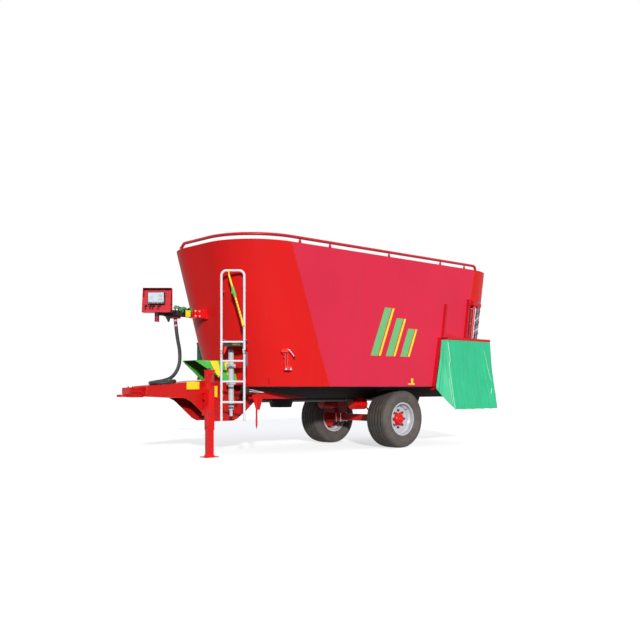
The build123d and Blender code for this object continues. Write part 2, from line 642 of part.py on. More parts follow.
# Oil tank on the tub's front, and the pipe post beside the drawbar
tank_seat, tank_out = shell_point(-1, 1, TANK_ANGLE, TANK_Z0)
tank_plane = Plane(origin=tank_seat, x_dir=(-tank_out[1], tank_out[0], 0), z_dir=tank_out)
tank_height = TANK_Z1 - TANK_Z0
tank = Pos(0, -tank_height / 2, 0) * Box(TANK_WIDTH, tank_height, 2 * TANK_DEPTH)
tank += Pos(0, -tank_height - TANK_LID / 2, 0) * Box(TANK_WIDTH + 16, TANK_LID, 2 * TANK_DEPTH + 16)
tank = tank_plane * tank - tub_outer
add("oil_tank", tank.solids().sort_by(Axis.Y)[-1])
post = rod((POST_X, POST_Y, POST_Z0), (POST_X, POST_Y, POST_Z1), POST_R)
post += rod((POST_X, POST_Y, POST_FOOT_Z), (POST_X, POST_Y, POST_Z0 + 5), POST_FOOT_R)
for z in POST_CLAMP_ZS:
    clamp = box(POST_X - POST_R - 8, POST_X + 500, POST_Y - POST_R - 8, POST_Y + POST_R + 8, z - 28, z + 28)
    clamp -= tub_outer + floor_plate
    post += clamp.solids().sort_by(Axis.X)[0]
add("pipe_post", post)

# Ladder: fixed handrail hoop with platform, and a lower part that folds up
ladder_along = (cos(radians(LADDER_ANGLE)), sin(radians(LADDER_ANGLE)), 0)
ladder_frame = Plane(origin=(LADDER_X, LADDER_Y, 0), x_dir=ladder_along, z_dir=(0, 0, 1))
stile = LADDER_WIDTH / 2 - LADDER_TUBE_R


def ladder_point(across, out, z):
    """Point by distance across the ladder, out from its plane (away from the tub) and height."""
    p = ladder_frame.from_local_coords((across, -out, z))
    return (p.X, p.Y, p.Z)


upper = bent_tube([ladder_point(-stile, 0, LADDER_HINGE_Z + 25), ladder_point(-stile, 0, LADDER_TOP_Z),
                   ladder_point(stile, 0, LADDER_TOP_Z), ladder_point(stile, 0, LADDER_HINGE_Z + 25)],
                  LADDER_BEND_R, LADDER_TUBE_R)
upper += rod(ladder_point(-stile, 0, PLATFORM_Z), ladder_point(stile, 0, PLATFORM_Z), RUNG_R)
for across in (-stile, stile):
    for z in (PLATFORM_Z + 40, BRACE_Z):
        arm = rod(ladder_point(across, 0, z), ladder_point(across, -BRACE_REACH, z), BRACE_R) - tub_outer
        upper += arm.solids().sort_by(lambda s: (s.center() - Vector(*ladder_point(across, 0, z))).length)[0]
for s in (-1, 1):
    lug = (Pos(s * (stile - 4 - SWING_GAP - 3), -HINGE_OUT / 2 - 3, LADDER_HINGE_Z + 14)
           * Box(6, HINGE_OUT + 26, 62))
    pin = rod(ladder_point(s * (stile - 4 - SWING_GAP - 6), HINGE_OUT, LADDER_HINGE_Z),
              ladder_point(s * (stile + 8), HINGE_OUT, LADDER_HINGE_Z), PIN_R)
    upper += ladder_frame * lug + pin
add("ladder_handrail", upper)
stick_out = LADDER_TUBE_R + STICK_R + SWING_GAP
stick_ends = [ladder_point(across, stick_out, z) for across, z in (STICK_TOP, STICK_FOOT)]
stick = rod(*stick_ends, STICK_R)
top_clip = rod(ladder_point(STICK_TOP[0], stick_out, STICK_TOP[1]),
               ladder_point(STICK_TOP[0], stick_out, LADDER_TOP_Z), STICK_R * 0.6)
top_clip += rod(ladder_point(STICK_TOP[0], stick_out + STICK_R * 0.6, LADDER_TOP_Z),
                ladder_point(STICK_TOP[0], 0, LADDER_TOP_Z), STICK_R * 0.6)
foot_clip = rod(ladder_point(STICK_FOOT[0], stick_out, STICK_FOOT[1] + STICK_R),
                ladder_point(stile, 0, STICK_FOOT[1] + STICK_R), STICK_R * 0.6)
stick = stick + top_clip + foot_clip - upper
add("level_stick", stick.solids().sort_by(SortBy.VOLUME)[-1])
deck = ladder_frame * Pos(0, 250, PLATFORM_Z - 30) * Box(2 * stile - 40, 460, 8)
deck = (deck - tub_outer).solids().sort_by(
    lambda s: (s.center() - Vector(*ladder_point(0, -100, PLATFORM_Z))).length)[0]
add("ladder_platform", deck)
lower = None
for across in (-stile, stile):
    piece = rod(ladder_point(across, 0, LADDER_BOTTOM_Z), ladder_point(across, 0, LADDER_HINGE_Z - 25),
                LADDER_TUBE_R)
    lower = piece if lower is None else lower + piece
for z in RUNG_ZS:
    lower += rod(ladder_point(-stile, 0, z), ladder_point(stile, 0, z), RUNG_R)
for s in (-1, 1):
    lug = Pos(s * stile, -HINGE_OUT / 2 - 3, LADDER_HINGE_Z - 28) * Box(8, HINGE_OUT + 26, 84)
    lower += ladder_frame * lug
    lower -= rod(ladder_point(s * (stile - 40), HINGE_OUT, LADDER_HINGE_Z),
                 ladder_point(s * (stile + 40), HINGE_OUT, LADDER_HINGE_Z), PIN_R + FIT)
add("ladder_lower", lower)

# Top rail on each side, on short posts
for side, s in (("left", -1), ("right", 1)):
    y = s * (TUB_HALF_WIDTH - 4)
    if s < 0:
        points = [(FRONT_TOP_X + 10, 430, TUB_TOP_Z), (FRONT_TOP_X + 10, 340, HAND_RAIL_Z),
                  (FRONT_TOP_X + 10, y, HAND_RAIL_Z), (HAND_RAIL_END_X, y, HAND_RAIL_Z),
                  (HAND_RAIL_END_X, y, TUB_TOP_Z)]
        radii = [HAND_RAIL_BEND_R - 20, CORNER_TOP_R - 10, HAND_RAIL_BEND_R]
    else:
        points = [(front_seam_top, y, TUB_TOP_Z), (front_seam_top, y, HAND_RAIL_Z),
                  (HAND_RAIL_END_X, y, HAND_RAIL_Z), (HAND_RAIL_END_X, y, TUB_TOP_Z)]
        radii = [HAND_RAIL_BEND_R, HAND_RAIL_BEND_R]
    rail = bent_tube(points, radii, HAND_RAIL_R)
    for x in POST_XS:
        rail += rod((x, y, TUB_TOP_Z), (x, y, HAND_RAIL_Z), RAIL_POST_R)
    add(f"top_rail_{side}", rail - box(-5000, 5000, -2000, 2000, TUB_TOP_Z - 100, TUB_TOP_Z))

# Discharge: guide frame, sliding door, cylinder, chute, bar and curtain
wall_y = -TUB_HALF_WIDTH
wall_depth = 330
guide_y0 = wall_y - DOOR_STANDOFF - DOOR_THICK - 14
door_face = wall_y - DOOR_STANDOFF - DOOR_THICK
door_top = TUB_BOTTOM_Z + DOOR_HEIGHT + 30
tie = leaned(box(door_x0 - DOOR_FRAME, door_x1 + DOOR_FRAME, wall_y - DOOR_STANDOFF + 8, wall_y + wall_depth,
                 door_top - 40, door_top - 10)) - tub_outer
frame = tie.solids().sort_by(Axis.Y)[0]
for s, x, top in ((-1, door_x0, GUIDE_TOP_Z), (1, door_x1, CYLINDER_TOP_Z)):
    outer = box(min(x, x + s * DOOR_FRAME), max(x, x + s * DOOR_FRAME), guide_y0, wall_y + wall_depth,
                TUB_BOTTOM_Z - 100, top)
    slot = box(x - 22 - FIT, x + 22 + FIT, door_face - SLIDE_GAP, wall_y - DOOR_STANDOFF + SLIDE_GAP,
               TUB_BOTTOM_Z - 110, top + 10)
    post = above(leaned(outer - slot), TUB_BOTTOM_Z) - tub_outer
    frame += post.solids().sort_by(Axis.Y)[0]
add("door_frame", frame)
door = leaned(box(door_x0 - DOOR_OVERLAP, door_x1 + DOOR_OVERLAP, door_face, wall_y - DOOR_STANDOFF,
                  TUB_BOTTOM_Z - 100, door_top))
door = above(door, TUB_BOTTOM_Z + 8)
rod_y = door_face - 47
arm_back = guide_y0 - SWING_GAP
barrel = rod((CYLINDER_X, rod_y, CYLINDER_BOTTOM_Z), (CYLINDER_X, rod_y, CYLINDER_TOP_Z), CYLINDER_R)
barrel -= rod((CYLINDER_X, rod_y, CYLINDER_BOTTOM_Z - 5), (CYLINDER_X, rod_y, CYLINDER_TOP_Z - 20), ROD_R + FIT)
add("door_cylinder", leaned(barrel))
hanger = box(door_x1 + DOOR_FRAME, CYLINDER_X + CYLINDER_R + 14, rod_y - CYLINDER_R - 4, wall_y + wall_depth,
             CYLINDER_TOP_Z - 90, CYLINDER_TOP_Z - 30)
hanger -= rod((CYLINDER_X, rod_y, CYLINDER_TOP_Z - 200), (CYLINDER_X, rod_y, CYLINDER_TOP_Z + 50), CYLINDER_R)
pipe = rod((PIPE_X, rod_y + 12, BAR_Z + BAR_SIZE / 2), (PIPE_X, rod_y + 12, CYLINDER_TOP_Z - 60), PIPE_R)
hanger = leaned(hanger + pipe) - tub_outer
add("cylinder_hanger", hanger.solids().sort_by(Axis.Y)[0])
piston = rod((CYLINDER_X, rod_y, LIFT_Z), (CYLINDER_X, rod_y, CYLINDER_BOTTOM_Z + 40), ROD_R)
piston += rod((CYLINDER_X, rod_y, LIFT_Z - 30), (CYLINDER_X, rod_y, LIFT_Z + 40), ROD_R + 7)
lift_arm = box(DOOR_X - 60, CYLINDER_X + 20, arm_back - 10, arm_back, LIFT_Z - 30, LIFT_Z + 30)
lift_arm += box(DOOR_X - 60, door_x1 - 20, arm_back, door_face, LIFT_Z - 30, LIFT_Z + 30)
lift_arm -= rod((CYLINDER_X, rod_y, LIFT_Z - 60), (CYLINDER_X, rod_y, LIFT_Z + 60), ROD_R + 7)
add("discharge_door", door + leaned(lift_arm))
add("door_rod", leaned(piston))

chute_y0 = wall_y - FLOOR_LIP
chute_y1 = wall_y - CHUTE_REACH
chute_low = TUB_BOTTOM_Z - CHUTE_DROP
chute = cross_plate([(chute_y0, TUB_BOTTOM_Z - 4), (chute_y1, chute_low), (chute_y1, chute_low - 8),
                     (chute_y0 - 8, TUB_BOTTOM_Z - 18), (chute_y0 - 8, floor_bottom - 34),
                     (wall_y + 60, floor_bottom - 34), (wall_y + 60, floor_bottom), (chute_y0, floor_bottom)],
                    CHEEK_FRONT_X + 30, CHEEK_REAR_X - 30)
chute_plan = [(CHEEK_FRONT_X + 30, wall_y + 70), (CHEEK_FRONT_X + 30, CHEEK_Y + 10),
              (CHUTE_FRONT_X + 40, chute_y1 - 10), (CHUTE_REAR_X - 40, chute_y1 - 10),
              (CHEEK_REAR_X - 30, CHEEK_Y + 10), (CHEEK_REAR_X - 30, wall_y + 70)]
chute &= flat_plate(chute_plan, 600, 1100)
add("chute_floor", chute)

half_bar = BAR_SIZE / 2
bar = box(CHUTE_FRONT_X, CHUTE_REAR_X, BAR_Y - half_bar, BAR_Y + half_bar, BAR_Z - half_bar, BAR_Z + half_bar)
for x in (CHUTE_FRONT_X, CHUTE_REAR_X - 12):
    arm = box(x, x + 12, BAR_Y, wall_y + 500, BAR_Z - half_bar, BAR_Z + half_bar) - tub_outer
    bar += arm.solids().sort_by(Axis.Y)[0]
cheek_top = BAR_Z + half_bar
for bottom, top, step in ((CHEEK_FRONT_X, CHEEK_TOP_FRONT_X, 8), (CHEEK_REAR_X, CHEEK_TOP_REAR_X, -8)):
    cheek = side_plate([(bottom, TUB_BOTTOM_Z), (top, cheek_top), (top + step, cheek_top),
                        (bottom + step, TUB_BOTTOM_Z)], CHEEK_Y, wall_y + 700) - tub_outer
    bar += cheek.solids().sort_by(Axis.Y)[0]
    x0, x1 = sorted((top, CHUTE_FRONT_X if top < DOOR_X else CHUTE_REAR_X))
    ledge = box(x0, x1, CHEEK_Y, wall_y + 700, cheek_top - 8, cheek_top) - tub_outer
    bar += ledge.solids().sort_by(Axis.Y)[0]
add("chute_bar", bar)


def skirt(thick):
    """Flared three-sided hood of cloth, open towards the tub; inset by a thickness."""
    top = BAR_Z - half_bar - 0.5
    back = CHEEK_Y - 0.5
    upper = curtain_outline(CHEEK_TOP_FRONT_X + 4, CHUTE_FRONT_X, CHUTE_REAR_X, CHEEK_TOP_REAR_X - 4,
                            BAR_Y - half_bar, back, thick, top)
    lower = curtain_outline(CHEEK_FRONT_X - 60, CHUTE_FRONT_X, CHUTE_REAR_X - 30, CHEEK_REAR_X + 30,
                            BAR_Y - CURTAIN_FLARE, back, thick, CURTAIN_BOTTOM_Z)
    return loft([lower, upper], ruled=True)


def curtain_outline(x0, x1, x2, x3, y_out, y_in, thick, z):
    return make_face(Polyline((x0 + 1.4 * thick, y_in, z), (x1 + 0.8 * thick, y_out + thick, z),
                              (x2 - 0.8 * thick, y_out + thick, z), (x3 - 1.4 * thick, y_in, z), close=True))


curtain = skirt(0) - skirt(CURTAIN_THICK)
curtain -= box(0, 3000, CHEEK_Y - 2, wall_y, 0, 3000)
hem_y = BAR_Y - CURTAIN_FLARE
curtain -= cross_plate([(CHEEK_Y + 20, TUB_BOTTOM_Z - 20), (CHEEK_Y + 20, 0), (hem_y + 12, 0),
                        (hem_y + 12, CURTAIN_BOTTOM_Z)], 0, 3000)
add("chute_curtain", curtain)

# Control arm, box with display and the coupling block
arm_root = lerp(FRONT_BOTTOM_X, FRONT_TOP_X, level(ARM_Z))
arm = rod((ARM_REACH_X, ARM_Y, ARM_Z - 50), (arm_root + 60, ARM_Y, ARM_Z - 50), ARM_R)
arm += rod((ARM_REACH_X, ARM_Y, ARM_Z - 170), (ARM_REACH_X, ARM_Y, BOX_BOTTOM_Z - 0.5), ARM_R)
arm += box(MANIFOLD_X - MANIFOLD_HALF, MANIFOLD_X + MANIFOLD_HALF, ARM_Y - 45, ARM_Y + 45, ARM_Z - 110,
           ARM_Z + 5)
arm += box(BRACKET_X, arm_root + 60, ARM_Y - BRACKET_HALF, ARM_Y + BRACKET_HALF, ARM_Z - 85, ARM_Z + 35)
foot = box(arm_root - 22, arm_root + 60, ARM_Y - BRACKET_HALF - 20, ARM_Y + BRACKET_HALF + 20, ARM_Z - 95,
           ARM_Z + 45)
arm = (arm + foot) - tub_outer
add("control_arm", arm.solids().sort_by(SortBy.VOLUME)[-1])
case_frame = Location((ARM_REACH_X, ARM_Y, BOX_BOTTOM_Z), (0, 0, BOX_TURN))
case = Pos(0, 0, BOX_HEIGHT / 2) * Box(BOX_WIDTH, BOX_DEPTH, BOX_HEIGHT)
case -= (Pos(0, -BOX_SHEET, BOX_SHEET + (BOX_HEIGHT - 2 * BOX_SHEET) / 2)
         * Box(BOX_WIDTH - 2 * BOX_SHEET, BOX_DEPTH, BOX_HEIGHT - 2 * BOX_SHEET))
case -= (Pos(0, -BOX_DEPTH / 2, 0) * Rot(-12, 0, 0) * Box(BOX_WIDTH + 20, 60, 3 * BOX_HEIGHT))
case += (Pos(0, -BOX_DEPTH * 0.12, BOX_FACE_TOP / 2 + BOX_SHEET / 2)
         * Box(BOX_WIDTH - 2 * BOX_SHEET, BOX_SHEET, BOX_FACE_TOP))
case = case.solids().sort_by(SortBy.VOLUME)[-1]
display = (Pos(DISPLAY_X, -BOX_DEPTH * 0.12 - BOX_SHEET / 2 - DISPLAY_DEPTH / 2, DISPLAY_Z)
           * Box(DISPLAY_WIDTH, DISPLAY_DEPTH, DISPLAY_HEIGHT))
add("control_box", case_frame * case - arm)
add("display_unit", case_frame * display)
coupler_x0, coupler_x1 = MANIFOLD_X + MANIFOLD_HALF, BRACKET_X
coupler = rod((coupler_x0, ARM_Y, ARM_Z + 10), (coupler_x1, ARM_Y, ARM_Z + 10), COUPLER_R)
for share, r in ((0.07, 1.3), (0.32, 1.35), (0.76, 1.25)):
    x = lerp(coupler_x0, coupler_x1, share)
    coupler += rod((x, ARM_Y, ARM_Z + 10), (x + 45, ARM_Y, ARM_Z + 10), COUPLER_R * r)
add("hose_couplers", coupler - arm)

# Counter knives: a housing with a lever on the front left and rear right shells
for name, end, side, angle in (("front", -1, -1, 58), ("rear", 1, 1, 58)):
    point, out = shell_point(end, side, angle, 1360)
    seat_plane = Plane(origin=point, x_dir=(-out[1], out[0], 0), z_dir=out)
    lever = seat_plane * Box(50, 300, 110)
    lever = lever - tub_outer
    lever += seat_plane * Pos(0, 110, 80) * Box(16, 150, 16)
    add(f"counter_knife_{name}", lever.solids().sort_by(SortBy.VOLUME)[-1])

# Rear lamp bar
lamp_x = REAR_BOTTOM_X + 50
lamp_bar = box(lamp_x, lamp_x + 30, -LAMP_BAR_HALF, LAMP_BAR_HALF, LAMP_Z - 45, LAMP_Z + 45)
for y in (-RAIL_Y, RAIL_Y):
    lamp_bar += box(RAIL_REAR_X, lamp_x, y - 40, y + 40, LAMP_Z - 45, LAMP_Z + 40)
add("rear_lamp_bar", lamp_bar)
for side, s in (("left", -1), ("right", 1)):
    add(f"rear_lamp_{side}", box(lamp_x + 30, lamp_x + 75, s * LAMP_Y - LAMP_HALF, s * LAMP_Y + LAMP_HALF,
                                 LAMP_Z - 40, LAMP_Z + 40))

# Hose bundle with its coil on the drawbar
hose_points = [(MANIFOLD_X, ARM_Y, ARM_Z - 110), (-3502, ARM_Y + 2, 1710), (-3446, ARM_Y, 1480),
               (-3462, ARM_Y - 10, 1270), (-3560, ARM_Y + 10, 1112), (-3700, 142, 1064), (-3830, 146, 1046)]


def cord_radii(points):
    """Bend radii of a hanging cord, from the shorter of the runs at each bend."""
    radii = []
    for a, b, c in zip(points, points[1:], points[2:]):
        first, second = Vector(*b) - Vector(*a), Vector(*c) - Vector(*b)
        turn = radians(first.get_angle(second))
        radii.append(0.45 * min(first.length, second.length) / tan(turn / 2))
    return radii


hose_radii = cord_radii(hose_points)
print("hose radii", [round(r) for r in hose_radii])
top_front, top_rear = side_outline[1], side_outline[2]
top_slope = degrees(atan2(top_rear[1] - top_front[1], top_rear[0] - top_front[0]))
rest_z = lerp(top_front[1], top_rear[1], (COIL_X - top_front[0]) / (top_rear[0] - top_front[0]))
coil_frame = Location((COIL_X, COIL_Y, rest_z + 0.5), (0, -top_slope, 0))
coil = Pos(0, 0, HOSE_R) * (Torus(COIL_R, HOSE_R) + Torus(COIL_INNER_R, HOSE_R))
coil += Cylinder(COIL_R, 2 * HOSE_R, align=(Align.CENTER, Align.CENTER, Align.MIN)) - Cylinder(COIL_INNER_R, 200)
coil = coil_frame * coil
hose = bent_tube(hose_points, hose_radii, HOSE_R) - coil - arm
add("hose_bundle", hose.solids().sort_by(SortBy.VOLUME)[-1])
add("hose_coil", coil)
cords += ["hose_bundle", "hose_coil"]

# Moving the whole model so that its origin lies under the middle of its box, on the ground
whole = Compound([shape for name, shape in nodes.items() if name not in cords])
bounds = whole.bounding_box()
shift = Vector(round(-(bounds.min.X + bounds.max.X) / 2, 1), round(-(bounds.min.Y + bounds.max.Y) / 2, 1),
               round(-bounds.min.Z, 1))
print("shift", *shift)
for name, shape in nodes.items():
    export_step(Pos(*shift) * shape, f"parts/{name}.step")
    if len(shape.solids()) != 1:
        print(name, "solids", [round(solid.volume) for solid in shape.solids()])
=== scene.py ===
"""Looks of a trailed twin-auger feed mixer wagon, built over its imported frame.

Lengths are in metres. Places are read as drawing millimetres, measured from the point on the ground below
the axle, and spot() moves them into the frame.
"""
import json
import logging
import math
from dataclasses import dataclass, field
from enum import Enum
from typing import Callable, Sequence

import bmesh
import bpy
from mathutils import Matrix, Vector, noise


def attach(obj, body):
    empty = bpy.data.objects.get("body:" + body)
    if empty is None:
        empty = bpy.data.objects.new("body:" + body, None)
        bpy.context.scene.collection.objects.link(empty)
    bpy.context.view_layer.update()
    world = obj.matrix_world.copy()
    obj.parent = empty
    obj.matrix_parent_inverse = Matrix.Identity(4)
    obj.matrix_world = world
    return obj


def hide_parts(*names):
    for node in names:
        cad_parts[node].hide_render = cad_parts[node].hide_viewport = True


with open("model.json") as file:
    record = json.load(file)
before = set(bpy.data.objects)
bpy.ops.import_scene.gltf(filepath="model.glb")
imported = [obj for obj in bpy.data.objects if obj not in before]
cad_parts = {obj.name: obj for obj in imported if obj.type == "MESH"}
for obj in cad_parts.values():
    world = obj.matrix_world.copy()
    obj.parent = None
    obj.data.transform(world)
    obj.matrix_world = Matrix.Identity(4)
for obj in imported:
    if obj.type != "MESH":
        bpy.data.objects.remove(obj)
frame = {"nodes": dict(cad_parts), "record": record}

logging.basicConfig(level=logging.INFO, format="%(message)s")
log = logging.getLogger("mixer_wagon")

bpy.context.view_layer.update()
EYE = next(m for m in frame["record"]["mounts"] if m["name"] == "towing_eye")["pos_m"]
EYE_PLACE = Vector((-4.405, 0.0, 0.86))
ORIGIN = Vector(EYE) - EYE_PLACE
Colour = tuple[float, float, float]
UP, DOWN = Vector((0.0, 0.0, 1.0)), Vector((0.0, 0.0, -1.0))
LEFTWARD, REARWARD = Vector((0.0, -1.0, 0.0)), Vector((1.0, 0.0, 0.0))
AUGER_X = (-1710.0, 1235.0)
LADDER_TURN = -41.8
ROAD_DUST: Colour = (0.23, 0.17, 0.12)


def spot(x: float, y: float, z: float) -> Vector:
    """Frame point of a place given in drawing millimetres."""
    return ORIGIN + Vector((x, y, z)) / 1000


def trail(*places: Sequence[float]) -> list[Vector]:
    """Frame points of several places given in drawing millimetres."""
    return [spot(*place) for place in places]


def ray(angle: float, first: int = 0, second: int = 1) -> Vector:
    """Direction at an angle in the plane of two axes, X and Y unless others are named."""
    way = Vector((0.0, 0.0, 0.0))
    way[first], way[second] = math.cos(angle), math.sin(angle)
    return way


def tint(red: int, green: int, blue: int) -> Colour:
    """Linear colour of an eight-bit display colour."""
    return tuple((c / 255 / 12.92) if c < 11 else ((c / 255 + 0.055) / 1.055) ** 2.4
                 for c in (red, green, blue))


class Body(Enum):
    """Bodies of the frame that pieces ride on."""

    FRAME = "frame"
    WHEEL_LEFT = "wheel_left"
    WHEEL_RIGHT = "wheel_right"
    FRONT_AUGER = "front_auger"
    REAR_AUGER = "rear_auger"
    DOOR = "door"
    LADDER = "folding_ladder"
    JACK = "jack"


class Side(Enum):
    """Sides of the wagon, as signs along Y."""

    LEFT = -1
    RIGHT = 1


# Node trees


class Wire:
    """One value in a node tree; arithmetic on it adds math nodes."""

    def __init__(self, book: "Book", socket: bpy.types.NodeSocket) -> None:
        """Keep the tree's book and the socket that carries the value."""
        self.book, self.socket = book, socket

    def _join(self, operation: str, other: "Wire | float", swap: bool = False) -> "Wire":
        """Combine this value with another one.

        Args:
            operation: name of the math operation.
            other: the second value, or the first where swap is true.
            swap: whether the values change places.

        Returns:
            The result's wire.
        """
        first, second = (other, self) if swap else (self, other)
        kind = "VectorMath" if self.socket.type == "VECTOR" else "Math"
        return self.book.node("ShaderNode" + kind, {0: first, 1: second}, operation=operation)

    def __add__(self, other: "Wire | float") -> "Wire":
        """Sum of two values."""
        return self._join("ADD", other)

    def __sub__(self, other: "Wire | float") -> "Wire":
        """Difference of two values."""
        return self._join("SUBTRACT", other)

    def __rsub__(self, other: float) -> "Wire":
        """Difference from a number."""
        return self._join("SUBTRACT", other, swap=True)

    def __mul__(self, other: "Wire | float") -> "Wire":
        """Product of two values."""
        return self._join("MULTIPLY", other)

    def over(self, limit: float) -> "Wire":
        """One where the value is above a limit, else zero."""
        return self._join("GREATER_THAN", limit)

    def within(self, low: float, high: float) -> "Wire":
        """Share from zero to one that the value has come from low to high, clamped."""
        return self.book.node("ShaderNodeMapRange", {0: self, 1: low, 2: high, 3: 0.0, 4: 1.0})

    def axis(self, name: str) -> "Wire":
        """X, Y or Z of a vector."""
        return self.book.node("ShaderNodeSeparateXYZ", {0: self}, out=name)


class Book:
    """A node tree with one generic way to add a node."""

    def __init__(self, tree: bpy.types.NodeTree) -> None:
        """Keep the tree."""
        self.tree = tree

    def node(self, kind: str, inputs: dict | None = None, out: int | str = 0, **properties: object) -> Wire:
        """Add a node.

        Args:
            kind: Blender's name of the node type.
            inputs: values or wires by the input's index or name.
            out: the output that the returned wire carries.
            properties: settings of the node.

        Returns:
            The wire of the chosen output.
        """
        made = self.tree.nodes.new(kind)
        for name, value in properties.items():
            setattr(made, name, value)
        for key, value in (inputs or {}).items():
            if isinstance(value, Wire):
                self.tree.links.new(value.socket, made.inputs[key])
            else:
                made.inputs[key].default_value = value
        return Wire(self, made.outputs[out])


class Shader(Book):
    """A material's node tree round one principled surface."""

    def __init__(self, name: str) -> None:
        """Make the material with an empty tree and its surface node."""
        self.material = bpy.data.materials.new(name)
        self.material.use_nodes = True
        super().__init__(self.material.node_tree)
        self.tree.nodes.clear()
        self.surface = self.tree.nodes.new("ShaderNodeBsdfPrincipled")
        end = self.tree.nodes.new("ShaderNodeOutputMaterial")
        self.tree.links.new(self.surface.outputs[0], end.inputs[0])
        self.place = self.node("ShaderNodeTexCoord", out="Object")

    def mix(self, share: "Wire | float", first: "Wire | Colour", second: "Wire | Colour") -> Wire:
        """Blend two colours by a share from zero to one."""
        four = [c if isinstance(c, Wire) else (*c, 1.0) for c in (first, second)]
        return self.node("ShaderNodeMix", {0: share, 6: four[0], 7: four[1]}, out=2, data_type="RGBA")

    def speckle(self, scale: float, detail: float = 3.0, stretch: Colour | None = None) -> Wire:
        """Noise from zero to one at a scale per metre, stretched along chosen axes."""
        place = self.place
        if stretch:
            place = self.node("ShaderNodeVectorMath", {0: place, 1: stretch}, operation="MULTIPLY")
        return self.node("ShaderNodeTexNoise", {"Vector": place, "Scale": scale, "Detail": detail})

    def bump(self, height: Wire, strength: float, distance: float) -> Wire:
        """Bumped normal from a height."""
        return self.node("ShaderNodeBump", {"Strength": strength, "Distance": distance, "Height": height})

    def finish(self, **inputs: "Wire | float | Colour") -> bpy.types.Material:
        """Set the surface's sockets.

        Args:
            inputs: values or wires by socket name, with underscores for spaces.

        Returns:
            The finished material.
        """
        for name, value in inputs.items():
            socket = self.surface.inputs[name.replace("_", " ")]
            if isinstance(value, Wire):
                self.tree.links.new(value.socket, socket)
            else:
                socket.default_value = (*value, 1.0) if isinstance(value, tuple) else value
        return self.material


# Finishes


class Finish:
    """Base of all finishes; each makes its material once."""

    _made: dict["Finish", bpy.types.Material] = {}

    def material(self) -> bpy.types.Material:
        """The finish's material, made at first use."""
        if self not in Finish._made:
            Finish._made[self] = self.make()
        return Finish._made[self]

    def make(self) -> bpy.types.Material:
        """Build the material; each finish has its own way."""
        raise NotImplementedError


@dataclass(frozen=True)
class Paint(Finish):
    """Sprayed machine paint with faint waviness, dust low down and fine grime; where below is set, faces
    that look down take that colour as painted shade.
    """

    name: str
    colour: Colour
    roughness: float = 0.38
    coat: float = 0.05
    dust: float = 0.25
    gloss: float = 0.22
    # below: painted shade colour for faces that look down.
    below: Colour | None = None

    def make(self) -> bpy.types.Material:
        """Build the paint."""
        s = Shader(self.name)
        cloud = s.speckle(1.7)
        grime = s.speckle(24.0, 4.0)
        low = 1.0 - s.place.axis("Z").within(0.15, 1.05)
        shade = s.mix(cloud.within(0.3, 0.75), self.colour, tuple(c * 0.9 for c in self.colour))
        dusty = (grime.within(0.5, 0.75) * (low * 0.7 + 0.05)) * self.dust
        shade = s.mix(dusty, shade, ROAD_DUST)
        # Painted shade: faces that look down take the below colour, standing in for the shade under hoods
        # and box tops.
        if self.below:
            up = s.node("ShaderNodeNewGeometry", out="Normal").axis("Z").over(-0.3)
            shade = s.mix(up, self.below, shade)
        return s.finish(Base_Color=shade, Roughness=grime * 0.10 + (self.roughness - 0.05),
                        Specular_IOR_Level=self.gloss, Coat_Weight=self.coat, Coat_Roughness=0.15,
                        Normal=s.bump(s.speckle(60.0, 1.0), 0.06, 0.002))


@dataclass(frozen=True)
class SplitColourFinish(Finish):
    """Two colours on one piece that meet at a border along the wagon, with a third one on its foot.

    The border lies rearward of the drawing's middle by border at the hitch's height, and moves forward by
    slope for each metre upwards. The foot is a height and the colour below it. On the left chassis rail the
    rear colour and the slanted border are a painted shadow.
    """

    name: str
    front: Colour
    rear: Colour
    border: float
    foot: tuple[float, Colour] | None = None
    slope: float = 0.0

    def make(self) -> bpy.types.Material:
        """Build the two-coloured paint."""
        s = Shader(self.name)
        grime = s.speckle(24.0, 4.0)
        place = s.place.axis("X") + (s.place.axis("Z") - EYE_PLACE.z) * self.slope
        behind = place.over(ORIGIN.x + self.border)
        shade = s.mix(behind, self.front, self.rear)
        if self.foot:
            height, colour = self.foot
            shade = s.mix(s.place.axis("Z").over(height), colour, shade)
        shade = s.mix(grime.within(0.5, 0.8) * 0.12, shade, (0.12, 0.09, 0.07))
        return s.finish(Base_Color=shade, Roughness=grime * 0.1 + 0.36, Specular_IOR_Level=0.2,
                        Normal=s.bump(s.speckle(60.0, 1.0), 0.06, 0.002))


@dataclass(frozen=True)
class TubPaint(Finish):
    """Paint outside the tub and fodder-polished steel inside it, told apart by which way a face looks."""

    name: str
    colour: Colour
    front: float = AUGER_X[0] / 1000
    rear: float = AUGER_X[1] / 1000

    def make(self) -> bpy.types.Material:
        """Build the two-sided finish."""
        s = Shader(self.name)
        x, y, z = (s.place.axis(a) for a in "XYZ")
        normal = s.node("ShaderNodeNewGeometry", out="Normal")
        held = s.node("ShaderNodeClamp", {0: x, 1: ORIGIN.x + self.front, 2: ORIGIN.x + self.rear})
        facing = (x - held) * normal.axis("X") + (y - ORIGIN.y) * normal.axis("Y")
        outside = facing.over(-0.02)
        cloud = s.speckle(0.8)
        grime = s.speckle(30.0, 4.0)
        streak = s.speckle(9.0, 3.0, (1.0, 1.0, 0.12))
        red = s.mix(cloud.within(0.3, 0.75), self.colour, tuple(c * 0.91 for c in self.colour))
        low = 1.0 - z.within(0.95, 1.25)
        red = s.mix((streak.within(0.55, 0.75) * 0.07) + (grime.within(0.55, 0.8) * low * 0.16), red,
                    (0.30, 0.10, 0.08))
        wear = s.mix(streak.within(0.35, 0.65), (0.46, 0.44, 0.42), (0.27, 0.24, 0.22))
        wear = s.mix(cloud.within(0.58, 0.7) * z.within(1.9, 2.8) * 0.4, wear, self.colour)
        height = s.speckle(1.2, 1.0)
        return s.finish(Base_Color=s.mix(outside, wear, red), Metallic=(1.0 - outside) * 0.7,
                        Roughness=grime * 0.08 + outside * 0.02 + 0.36, Specular_IOR_Level=0.05,
                        Normal=s.bump(height, 0.22, 0.010))


